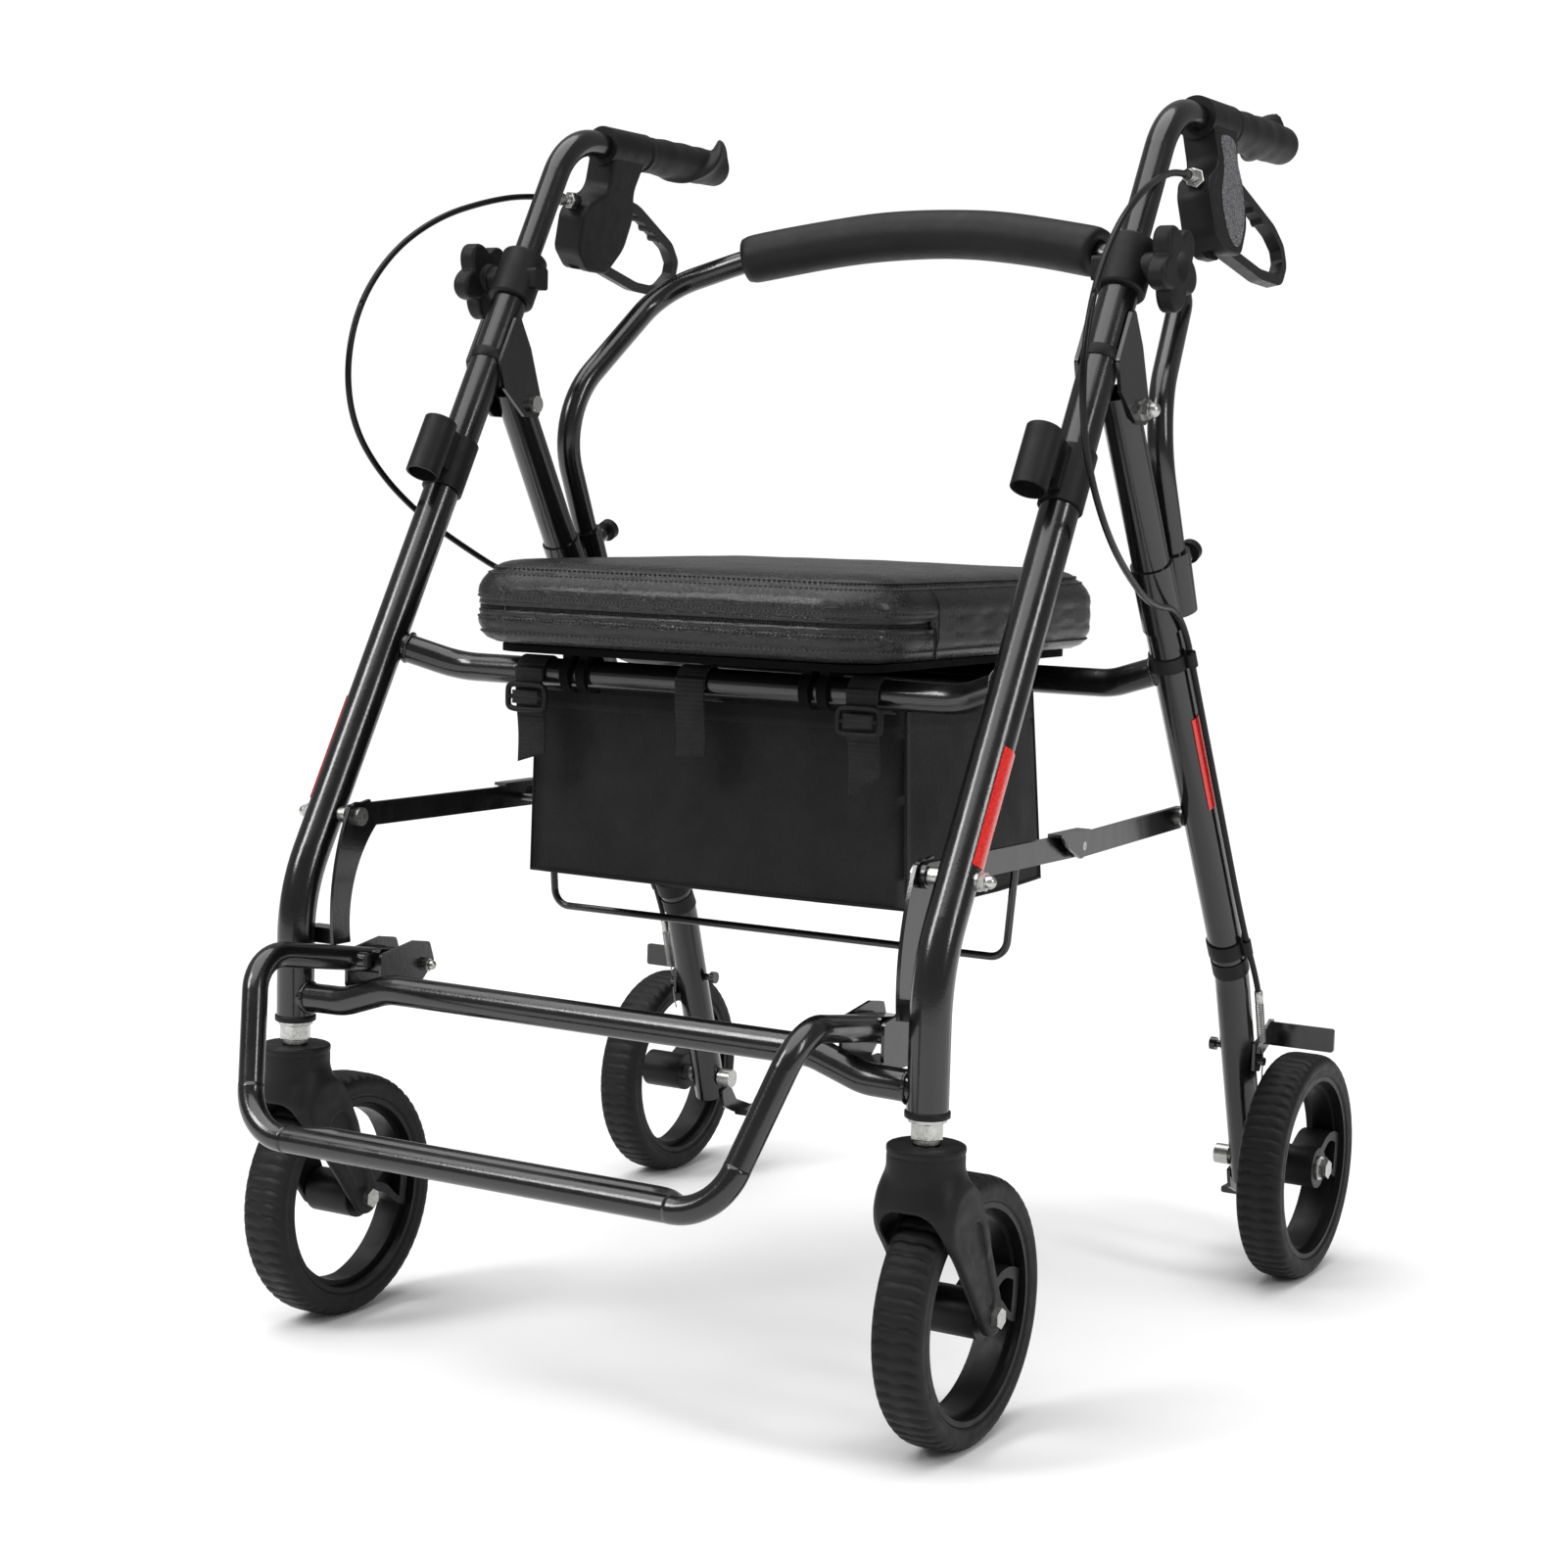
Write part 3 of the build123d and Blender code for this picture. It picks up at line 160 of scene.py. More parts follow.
def combine(tree, operation, a, b):
    node = tree.nodes.new("ShaderNodeMath")
    node.operation = operation
    tree.links.new(a, node.inputs[0])
    if isinstance(b, float):
        node.inputs[1].default_value = b
    else:
        tree.links.new(b, node.inputs[1])
    return node.outputs[0]


def bump(tree, shader, height, distance, strength=1.0, under=None):
    node = tree.nodes.new("ShaderNodeBump")
    node.inputs["Distance"].default_value = distance
    node.inputs["Strength"].default_value = strength
    tree.links.new(height, node.inputs["Height"])
    if under is not None:
        tree.links.new(under, node.inputs["Normal"])
    tree.links.new(node.outputs["Normal"], shader.inputs["Normal"])
    return node.outputs["Normal"]


def link_to(tree, value, shader, socket):
    tree.links.new(value, shader.inputs[socket])


def powder_coat():
    mat, tree, shader, co = new_material("gloss_black_coat", (0.004, 0.004, 0.0043), 0.2, coat=0.2)
    patches = noise(tree, co, 14, 4)
    link_to(tree, ramp(tree, patches, (0.0028, 0.0028, 0.003), (0.006, 0.006, 0.0062)), shader,
            "Base Color")
    smears = noise(tree, co, 60, 5, 0.7, (1, 1, 0.25))
    link_to(tree, ramp(tree, smears, 0.13, 0.27), shader, "Roughness")
    peel = noise(tree, co, 520, 2)
    bump(tree, shader, peel, 0.00022, 0.35)
    return mat


def moulded(name, color, rough_low=0.42, rough_high=0.6, grain=1500, depth=0.00012, spec=0.2):
    mat, tree, shader, co = new_material(name, color, rough_low, spec=spec)
    patches = noise(tree, co, 22, 4)
    dark = tuple(c * 0.8 for c in color)
    light = tuple(c * 1.25 for c in color)
    link_to(tree, ramp(tree, patches, dark, light), shader, "Base Color")
    link_to(tree, ramp(tree, noise(tree, co, 90, 5, 0.7), rough_low, rough_high), shader,
            "Roughness")
    fine = noise(tree, co, grain, 2)
    bump(tree, shader, fine, depth, 0.5)
    return mat


def zinc(name="zinc_plate", color=(0.52, 0.52, 0.5)):
    mat, tree, shader, co = new_material(name, color, 0.3, metallic=1.0)
    patches = noise(tree, co, 260, 4)
    low = tuple(c * 0.72 for c in color)
    link_to(tree, ramp(tree, patches, low, color), shader, "Base Color")
    link_to(tree, ramp(tree, noise(tree, co, 900, 4, 0.7), 0.2, 0.42), shader, "Roughness")
    bump(tree, shader, noise(tree, co, 1800, 2), 0.00008, 0.4)
    return mat


def vinyl():
    mat, tree, shader, co = new_material("grained_vinyl", (0.0045, 0.0045, 0.0047), 0.3,
                                         coat=0.1, spec=0.36)
    broad = noise(tree, co, 16, 4)
    link_to(tree, ramp(tree, broad, (0.003, 0.003, 0.0032), (0.0056, 0.0056, 0.0058)), shader,
            "Base Color")
    link_to(tree, ramp(tree, noise(tree, co, 45, 4), 0.23, 0.33), shader, "Roughness")
    cells = ramp(tree, voronoi(tree, co, 620), 0.0, 1.0, 0.0, 0.22)
    pores = noise(tree, co, 1900, 3)
    grain = combine(tree, "ADD", cells, combine(tree, "MULTIPLY", pores, 0.35))
    creases = noise(tree, co, 34, 3, 0.5)
    soft = bump(tree, shader, creases, 0.0006, 0.3)
    bump(tree, shader, grain, 0.00026, 0.6, soft)
    return mat


def woven(name, color, pitch, depth, sheen, speckle=0.35):
    """Close weave on any face: uneven threads along X, Y and Z."""
    mat, tree, shader, co = new_material(name, color, 0.82, sheen=sheen, spec=0.25)
    scale = 1 / pitch
    long_x = noise(tree, co, scale, 2, 0.5, (0.12, 1, 1))
    long_y = noise(tree, co, scale, 2, 0.5, (1, 0.12, 1))
    long_z = noise(tree, co, scale, 2, 0.5, (1, 1, 0.12))
    weave = combine(tree, "ADD", combine(tree, "ADD", long_x, long_y), long_z)
    flecks = noise(tree, co, 1400, 3)
    dark = tuple(c * (1 - speckle) for c in color)
    light = tuple(c * (1 + speckle) for c in color)
    link_to(tree, ramp(tree, flecks, dark, light, 0.35, 0.65), shader, "Base Color")
    link_to(tree, ramp(tree, noise(tree, co, 30, 3), 0.75, 0.9), shader, "Roughness")
    folds = bump(tree, shader, noise(tree, co, 26, 4, 0.6), 0.0012, 0.45)
    bump(tree, shader, weave, depth, 0.7, folds)
    return mat


def ribbed():
    """Webbing: fine ribs across the strap's length, broken up by uneven threads."""
    mat, tree, shader, co = new_material("webbing", (0.007, 0.007, 0.007), 0.8, sheen=0.05,
                                         spec=0.3)
    flecks = noise(tree, co, 900, 3)
    link_to(tree, ramp(tree, flecks, (0.0045, 0.0045, 0.0045), (0.01, 0.01, 0.01)), shader,
            "Base Color")
    link_to(tree, ramp(tree, noise(tree, co, 60, 3), 0.7, 0.88), shader, "Roughness")
    ribs = wave(tree, co, "Z", 90)
    bump(tree, shader, combine(tree, "ADD", ribs, flecks), 0.0006, 0.7)
    return mat


def speckled():
    """Grey plate with pale and dark flecks."""
    mat, tree, shader, co = new_material("label_plate", (0.1, 0.1, 0.11), 0.36)
    flecks = combine(tree, "ADD", noise(tree, co, 620, 3, 0.7), voronoi(tree, co, 420))
    link_to(tree, ramp(tree, flecks, (0.028, 0.028, 0.031), (0.24, 0.24, 0.26), 0.5, 0.95), shader,
            "Base Color")
    link_to(tree, ramp(tree, noise(tree, co, 120, 4), 0.3, 0.46), shader, "Roughness")
    bump(tree, shader, flecks, 0.0001, 0.4)
    return mat


def reflector_painted_glow():
    mat, tree, shader, co = new_material("red_reflector", (0.6, 0.012, 0.01), 0.22, coat=0.4)
    cells = voronoi(tree, co, 380)
    link_to(tree, ramp(tree, cells, (0.42, 0.007, 0.005), (0.66, 0.014, 0.011), 0.02, 0.2), shader,
            "Base Color")
    # Faint red emission: a painted glow standing in for the light the reflector sends back, not a
    # lamp.
    shader.inputs["Emission Color"].default_value = (0.8, 0.02, 0.01, 1)
    shader.inputs["Emission Strength"].default_value = 0.06
    bump(tree, shader, cells, 0.0004, 0.5)
    return mat


COAT = powder_coat()
PLASTIC = moulded("moulded_plastic", (0.0058, 0.0057, 0.0058))
LEVER_PLASTIC = moulded("lever_plastic", (0.0062, 0.0062, 0.0063), 0.34, 0.48)
RIM = moulded("rim_plastic", (0.0052, 0.0051, 0.0052), 0.34, 0.48, 900)
TYRE = moulded("tyre_rubber", (0.0075, 0.0073, 0.0074), 0.46, 0.62, 1100, 0.0002)
RUBBER = moulded("grip_rubber", (0.0072, 0.0072, 0.0078), 0.45, 0.6, 1300, 0.0002)
BOARD = moulded("seat_board", (0.0022, 0.0022, 0.0022), 0.7, 0.85, 500, 0.0002, 0.08)
FOAM = moulded("foam_skin", (0.0105, 0.0105, 0.011), 0.42, 0.56, 2300, 0.0002)
SHEATH = moulded("cable_sheath", (0.004, 0.004, 0.004), 0.22, 0.34, 800, 0.00006)
LABEL = speckled()
ZINC = zinc()
SPRING = zinc("spring_steel", (0.34, 0.34, 0.33))
VINYL = vinyl()
THREAD = moulded("thread", (0.035, 0.035, 0.036), 0.42, 0.6, 2000)
ZIPPER = moulded("zipper_coil", (0.012, 0.012, 0.012), 0.3, 0.45, 900)
CLOTH = woven("bag_cloth", (0.0085, 0.0083, 0.0084), 0.0009, 0.0005, 0.05)
BINDING = woven("bag_binding", (0.005, 0.005, 0.005), 0.0012, 0.0004, 0.04)
WEBBING = ribbed()
RED = reflector_painted_glow()

BY_SLOT = {
    "frame_steel": COAT, "plastic": PLASTIC, "zinc": ZINC, "rim_plastic": RIM, "tyre": TYRE,
    "grip_rubber": RUBBER, "seat_vinyl": VINYL, "seat_board": BOARD, "foam": FOAM,
    "bag_cloth": CLOTH, "webbing": WEBBING, "reflector": RED, "cable_sheath": SHEATH,
    "spring_steel": SPRING,
}
for entry in frame["record"]["subparts"]:
    mesh = nodes[entry["node"]].data
    mesh.materials.clear()
    mesh.materials.append(BY_SLOT[entry["material_slot"]])
for side, _ in SIDES:
    levers = nodes["brake_lever_" + side].data
    levers.materials.clear()
    levers.materials.append(LEVER_PLASTIC)


# ---------------------------------------------------------------- mesh helpers
def piece(name, points, faces, mat, body=None, smooth=True):
    mesh = bpy.data.meshes.new(name)
    mesh.from_pydata([tuple(p) for p in points], [], faces)
    mesh.update()
    mesh.materials.append(mat)
    if smooth:
        mesh.polygons.foreach_set("use_smooth", [True] * len(mesh.polygons))
    obj = bpy.data.objects.new(name, mesh)
    bpy.context.scene.collection.objects.link(obj)
    if body:
        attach(obj, body)
    return obj


class Builder:
    """Collects points and faces of several closed shapes for one piece."""

    def __init__(self):
        self.points = []
        self.faces = []

    def grid(self, rings):
        """Joins rings of equal length into a skin and closes its two ends."""
        base = len(self.points)
        count = len(rings[0])
        for ring in rings:
            self.points += [Vector(p) for p in ring]
        for i in range(len(rings) - 1):
            for j in range(count):
                a = base + i * count + j
                b = base + i * count + (j + 1) % count
                self.faces.append((a, b, b + count, a + count))
        last = base + (len(rings) - 1) * count
        self.faces.append(tuple(base + j for j in reversed(range(count))))
        self.faces.append(tuple(last + j for j in range(count)))

    def torus(self, rings):
        """Joins rings into a skin that closes on itself both ways."""
        base = len(self.points)
        count = len(rings[0])
        total = len(rings)
        for ring in rings:
            self.points += [Vector(p) for p in ring]
        for i in range(total):
            for j in range(count):
                a = base + i * count + j
                b = base + i * count + (j + 1) % count
                c = base + ((i + 1) % total) * count + (j + 1) % count
                d = base + ((i + 1) % total) * count + j
                self.faces.append((a, b, c, d))

    def tube(self, path, radius, sides=14, closed=False, flat=1.0):
        rings = sweep(path, radius, sides, closed, flat)
        if closed:
            self.torus(rings)
        else:
            self.grid(rings)

    def mirror(self):
        """Adds the mirror image of everything so far."""
        base = len(self.points)
        self.points += [Vector((-p.x, p.y, p.z)) for p in self.points[:base]]
        self.faces += [tuple(base + i for i in reversed(face)) for face in self.faces[:]]

    def make(self, name, mat, body=None, slot=None, smooth=True):
        return piece(name, self.points, self.faces, mat, body, smooth)


def sweep(path, radius, sides=14, closed=False, flat=1.0):
    """Rings of a round or flattened section along a path, with frames that don't twist."""
    path = [Vector(p) for p in path]
    count = len(path)
    tangents = []
    for i in range(count):
        before = path[i - 1] if closed or i else path[i]
        after = path[(i + 1) % count] if closed or i < count - 1 else path[i]
        tangents.append((after - before).normalized())
    side = Vector((0.31, 0.83, 0.47)).cross(tangents[0]).normalized()
    rings = []
    for i, (point, tangent) in enumerate(zip(path, tangents)):
        side = (side - tangent * side.dot(tangent)).normalized()
        other = tangent.cross(side)
        r = radius[i] if isinstance(radius, (list, tuple)) else radius
        rings.append([point + side * (r * math.cos(t)) + other * (r * flat * math.sin(t))
                      for t in (2 * math.pi * k / sides for k in range(sides))])
    return rings


def spline_points(control, resolution=12):
    """Points along an order 3 NURBS spline with these control points."""
    curve = bpy.data.curves.new("route", "CURVE")
    curve.dimensions = "3D"
    spline = curve.splines.new("NURBS")
    spline.points.add(len(control) - 1)
    for target, point in zip(spline.points, control):
        target.co = (*point, 1)
    spline.order_u = 3
    spline.use_endpoint_u = True
    spline.resolution_u = resolution
    holder = bpy.data.objects.new("route", curve)
    mesh = bpy.data.meshes.new_from_object(holder)
    points = [v.co.copy() for v in mesh.vertices]
    bpy.data.objects.remove(holder)
    bpy.data.curves.remove(curve)
    bpy.data.meshes.remove(mesh)
    return points


def step(x, low, high):
    t = min(1.0, max(0.0, (x - low) / (high - low)))
    return t * t * (3 - 2 * t)


def ripple(x, y, z, scale):
    """Smooth repeatable noise between -1 and 1."""
    x, y, z = x / scale, y / scale, z / scale
    return (math.sin(1.7 * x + 1.3 * math.sin(1.1 * y + 0.7)) * math.cos(1.9 * z + 0.6 * x)
            + 0.6 * math.sin(2.9 * y - 1.7 * z + 0.4 * math.sin(2.3 * x))) / 1.6


def mm(*values):
    return Vector(values) * MM


# ---------------------------------------------------------------- tyres
def tyre_mesh(centre):
    """Solid tyre with waved cross ribs that fade out over the shoulders."""
    segments = 432
    ribs = 60
    section = [(-16.5, 77.0), (-18.0, 78.2), (-18.6, 80.5), (-18.2, 82.0), (-18.9, 84.0),
               (-19.0, 86.5), (-18.6, 89.0), (-17.4, 91.3), (-15.6, 93.0), (-13.4, 94.2),
               (-10.8, 94.7), (-8.0, 95.0), (-5.0, 95.0), (-2.0, 95.0)]
    section += [(-x, r) for x, r in reversed(section)]
    rings = []
    for k in range(segments):
        angle = 2 * math.pi * k / segments
        ring = []
        for x, r in section:
            if r > 88:
                phase = ribs * angle + 1.1 * math.sin(x * 0.21) * (1 if x > 0 else -1)
                groove = step(math.cos(phase), 0.25, 0.8)
                reach = 1 - step(abs(x), 14.6, 18.4)
                middle = 0.45 + 0.55 * step(abs(x), 1.5, 7.5)
                r -= 1.9 * groove * reach * middle
            ring.append(centre + mm(x, r * math.cos(angle), r * math.sin(angle)))
        rings.append(ring)
    build = Builder()
    build.torus(rings)
    return build


for where in ("front", "rear"):
    for side, sign in SIDES:
        low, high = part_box(f"{where}_tyre_{side}")
        tyre = tyre_mesh((low + high) / 2).make(
            f"tread_{where}_{side}", TYRE, f"{where}_wheel_{side}", "tyre")
        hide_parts(f"{where}_tyre_{side}")


# ---------------------------------------------------------------- moulded shapes
def moulding(low, high, distance, pitch=1.1):
    """Skin of the solid whose distance field, in millimetres, is below zero."""
    low, high = np.array(low, float), np.array(high, float)
    counts = np.ceil((high - low) / pitch).astype(int) + 1
    grid_points = np.mgrid[0:counts[0], 0:counts[1], 0:counts[2]] * pitch
    x, y, z = (axis + start for axis, start in zip(grid_points, low))
    band = 3 * pitch
    grid = openvdb.FloatGrid(band)
    grid.copyFromArray(np.clip(distance(x, y, z), -band, band).astype(np.float32))
    points, quads = grid.convertToQuads(0.0)
    points = (points * pitch + low) * MM
    corners = points[quads]
    volume = np.einsum("ij,ij->i", corners[:, 0], np.cross(corners[:, 1], corners[:, 2])).sum()
    if volume < 0:
        quads = quads[:, ::-1]
    build = Builder()
    build.points = [Vector(p) for p in points.tolist()]
    build.faces = [tuple(face) for face in quads.tolist()]
    return build


def meet(a, b, soft):
    """Union of two fields with a fillet of about this radius."""
    h = np.clip(0.5 + 0.5 * (b - a) / soft, 0, 1)
    return b * (1 - h) + a * h - soft * h * (1 - h)


def carve(a, b, soft):
    """Field a with field b cut out of it."""
    return -meet(-a, b, soft)


def rounded(a, b, edge):
    """Overlap of two fields with its corner rounded to this radius."""
    u, v = a + edge, b + edge
    return np.minimum(np.maximum(u, v), 0) + np.hypot(np.maximum(u, 0), np.maximum(v, 0)) - edge


def slab(inside, across, half, edge):
    """Flat shape of a 2-D field, thickened to plus and minus half, with rounded edges."""
    return rounded(inside, np.abs(across) - half, edge)


def taper(y, z, start, r0, end, r1):
    """2-D field of two circles and the hull round them."""
    dy, dz = end[0] - start[0], end[1] - start[1]
    length = math.hypot(dy, dz)
    py, pz = y - start[0], z - start[1]
    along = (py * dy + pz * dz) / length
    off = np.abs(py * dz - pz * dy) / length
    slope = (r0 - r1) / length
    rise = math.sqrt(1 - slope * slope)
    turn = rise * along - slope * off
    side = rise * off + slope * along - r0
    body = np.where(turn < 0, np.hypot(py, pz) - r0, side)
    return np.where(turn > rise * length, np.hypot(off, along - length) - r1, body)


AXLE = (-218.0, 95.0)
STEM_Y = -272.0


def fork_field(x, y, z):
    """Caster fork: stem housing, saddle over the tyre, and two arms down to the axle."""
    x = x - LEG_X
    wheel = np.hypot(y - AXLE[0], z - AXLE[1])
    stem = np.hypot(x, y - STEM_Y)
    neck = slab(stem - 26.6 - 1.2 * np.clip((196 - z) / 20, 0, 1), z - 198, 19.5, 2)
    saddle_side = taper(y, z, (-271, 178), 25.5, (-246, 152), 20)
    saddle = slab(saddle_side, x, 29.5, 11)
    solid = meet(neck, saddle, 9)
    outer = taper(y, z, (-264, 172), 24, AXLE, 13.5)
    arms = slab(outer, np.abs(x) - 25.6, 3.6, 2.2)
    solid = meet(solid, arms, 5)
    tunnel_side = np.abs(x) - 22.3
    tunnel = rounded(tunnel_side, wheel - 100.5, 15)
    tunnel = np.where(wheel < 80, np.minimum(tunnel, tunnel_side), tunnel)
    arch = rounded(tunnel_side, z - 180, 17)
    tunnel = np.minimum(tunnel, np.maximum(arch, y + 262))
    solid = carve(solid, tunnel, 1.6)
    panel = taper(y, z, (-254, 158), 11, (-225, 108), 5)
    recess = np.maximum(panel, 27.9 - np.abs(x))
    solid = carve(solid, recess, 0.9)
    cap = slab(stem - 26.9, z - 219.2, 2.8, 1.6)
    solid = meet(solid, cap, 0.4)
    ring = np.hypot(stem - 27.2, z - 216.2) - 0.9
    return np.maximum(carve(solid, ring, 0.4), 9 - stem * (z > 205) - 100 * (z <= 205))


def knob_field(x, y, z):
    """Five-lobed hand knob, dished between its lobes."""
    dy, dz = y, z - 819
    radius = np.hypot(dy, dz)
    angle = np.arctan2(dz, dy) + 0.35
    lobes = 0.5 + 0.5 * np.cos(5 * angle)
    edge = 22.5 + 10.0 * lobes ** 0.6
    body = slab((radius - edge) * 0.72, x - 308.2, 7.6, 3.2)
    hub = slab(radius - 12.5, x - 305, 9, 2)
    solid = meet(body, hub, 3)
    dish = np.hypot(radius, (x - 320) * 1.6) - 12
    return carve(solid, dish, 2)


def mirrored(build, sign):
    """The same shape for the other side when sign is -1."""
    if sign > 0:
        return build
    other = Builder()
    other.points = [Vector((-p.x, p.y, p.z)) for p in build.points]
    other.faces = [tuple(reversed(face)) for face in build.faces]
    return other


fork_skin = moulding((239, -302, 78), (305, -200, 225), fork_field)
knob_skin = moulding((292, -36, 783), (320, 36, 855), knob_field, 0.9)
for side, sign in SIDES:
    fork = mirrored(fork_skin, sign).make("fork_" + side, PLASTIC, "caster_" + side, "plastic")
    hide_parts("caster_fork_" + side)
    knob = mirrored(knob_skin, sign).make("knob_" + side, PLASTIC, "knob_" + side, "plastic")
    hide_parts("height_knob_" + side)


# ---------------------------------------------------------------- grips
def grip_mesh():
    """Soft grip with finger swells and a palm wing that winds up to the rear end."""
    low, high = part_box("grip_left")
    axis_z = (low.z + high.z) / 2 / MM
    start, end = low.y / MM, high.y / MM
    rings = []
    stations = 90
    sides = 72
    for i in range(stations + 1):
        t = i / stations
        y = start + (end - start) * t
        base = 15.2 + 0.9 * math.sin(math.pi * t)
        swells = step(t, 0.04, 0.2) * (1 - step(t, 0.7, 0.85))
        base += 0.35 * math.sin(t * 2 * math.pi * 4.5) * swells
        base += 1.4 * math.exp(-((t - 0.02) / 0.02) ** 2)
        end_round = math.sqrt(max(0.0, 1 - ((t - 0.94) / 0.06) ** 2)) if t > 0.94 else 1.0
        crest = math.radians(-75 - 190 * step(t, 0.3, 1.02))
        height = 3.2 * step(t, 0.28, 0.4) + 8.0 * step(t, 0.45, 0.97)
        ring = []
        for k in range(sides):
            a = 2 * math.pi * k / sides
            away = math.atan2(math.sin(a - crest), math.cos(a - crest))
            sharp = 0.55 if away > 0 else 0.16
            r = base + height * math.exp(-(away / sharp) ** 2)
            r *= 0.35 + 0.65 * end_round
            ring.append(mm(LEG_X + r * math.cos(a), y, axis_z + r * math.sin(a)))
        rings.append(ring)
    build = Builder()
    build.grid(rings)
    return build


grip_skin = grip_mesh()
for side, sign in SIDES:
    grip = mirrored(grip_skin, sign).make("palm_grip_" + side, RUBBER, "handle_" + side,
                                          "grip_rubber")
    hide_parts("grip_" + side)


# ---------------------------------------------------------------- seat cushion
seat_low, seat_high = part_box("seat_pad")
SEAT_X = seat_high.x / MM
SEAT_Y0 = seat_low.y / MM
SEAT_Y1 = seat_high.y / MM
SEAT_MID = (SEAT_Y0 + SEAT_Y1) / 2
CORNER = 52.0


def seat_outline(count=420):
    """Points round the seat with outward normals and the distance walked, in millimetres."""
    half_x, half_y = SEAT_X - CORNER, (SEAT_Y1 - SEAT_Y0) / 2 - CORNER
    arc = math.pi / 2 * CORNER
    runs = [("line", 2 * half_x, (-half_x, -half_y), (1, 0)), ("arc", arc, (half_x, -half_y), -90),
            ("line", 2 * half_y, (half_x, -half_y), (0, 1)), ("arc", arc, (half_x, half_y), 0),
            ("line", 2 * half_x, (half_x, half_y), (-1, 0)), ("arc", arc, (-half_x, half_y), 90),
            ("line", 2 * half_y, (-half_x, half_y), (0, -1)), ("arc", arc, (-half_x, -half_y), 180)]
    total = sum(run[1] for run in runs)
    out = []
    for k in range(count):
        s = total * k / count
        walked = s
        for kind, length, start, way in runs:
            if s <= length:
                break
            s -= length
        if kind == "line":
            normal = (way[1], -way[0])
            point = (start[0] + way[0] * s + normal[0] * CORNER,
                     start[1] + way[1] * s + normal[1] * CORNER)
        else:
            a = math.radians(way + 90 * s / length)
            normal = (math.cos(a), math.sin(a))
            point = (start[0] + normal[0] * CORNER, start[1] + normal[1] * CORNER)
        out.append((point[0], point[1] + SEAT_MID, normal[0], normal[1], walked))
    return out, total


ZIP_Z = 558.6
ZIP_END = -118.0
# Skin profile, bottom to top: height, how far in from the outline.
SEAT_PROFILE = [
    (530.9, 60), (530.8, 40), (531.0, 24), (532.2, 14), (535.0, 7.2), (538.6, 3.4), (540.6, 2.7),
    (541.6, 3.0), (542.6, 2.3), (545.5, 0.9), (549.0, 0.5), (551.6, 1.1), (553.0, 1.6),
    (554.4, 1.2), (556.2, 1.0), (557.2, 2.9), (560.0, 2.9), (561.0, 1.0), (562.8, 1.2),
    (564.2, 1.6), (565.6, 1.1), (569.0, 0.4), (574.0, 1.2), (579.0, 3.8), (583.0, 7.0),
    (585.4, 9.6), (586.4, 11.8), (587.6, 12.4), (589.6, 14.6), (591.6, 18.6), (593.3, 25),
    (594.5, 34), (595.3, 46)]
outline, seat_round = seat_outline()


def zip_share(x, y):
    """1 where the zip runs: round the front, from part way along each side."""
    if y > 40:
        return 0.0
    limit = ZIP_END if x > 0 else -40.0
    return 1 - step(y, limit - 2, limit + 2) if abs(x) > SEAT_X - 20 else 1.0


def seat_point(k, z, inset, lift=0.0):
    x, y, nx, ny, s = outline[k % len(outline)]
    zipped = zip_share(x, y)
    if 550 < z < 566:
        plain = 0.9 - 0.5 * math.sin((z - 550) / 16 * math.pi)
        inset = inset * zipped + plain * (1 - zipped)
    wrinkle = 0.0
    if 536 < z < 592:
        wrinkle = 0.4 * ripple(x, y, z * 1.3, 26) + 0.14 * ripple(y, x, z * 1.6, 12)
        pucker = math.sin(s / 6.2 + 1.4 * math.sin(s / 41))
        for seam in (541.6, 553.0, 564.2, 586.4):
            wrinkle += 0.36 * pucker * math.exp(-((z - seam) / 2.6) ** 2)
    pull = 1.6 * math.exp(-((abs(x) - SEAT_X + 16) / 26) ** 2 - ((y - SEAT_Y0 - 16) / 26) ** 2)
    d = inset - wrinkle + pull - lift
    return Vector((x - nx * d, y - ny * d, z))


def crown(x, y):
    """Height of the top skin over its edge, with a soft sat-in hollow."""
    u = (x / SEAT_X) ** 2
    v = ((y - SEAT_MID) / ((SEAT_Y1 - SEAT_Y0) / 2)) ** 2
    dome = max(0.0, (1 - u) * (1 - v)) ** 0.7
    return 2.6 * dome + 0.55 * ripple(x, y, 0, 62) + 0.2 * ripple(y, x, 5, 23)


def seat_mesh():
    rings = []
    count = len(outline)
    for z, inset in SEAT_PROFILE:
        rings.append([seat_point(k, z, inset) * MM for k in range(count)])
    edge = [seat_point(k, *SEAT_PROFILE[-1]) for k in range(count)]
    for share in (0.86, 0.72, 0.58, 0.44, 0.3, 0.16, 0.05):
        ring = []
        for p in edge:
            x, y = p.x * share, SEAT_MID + (p.y - SEAT_MID) * share
            ring.append(mm(x, y, 595.3 + crown(x, y) * step(1 - share, -0.05, 0.3)))
        rings.append(ring)
    build = Builder()
    build.grid(rings)
    return build


cushion = seat_mesh().make("seat_cushion", VINYL, "seat", "seat_vinyl")
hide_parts("seat_pad")


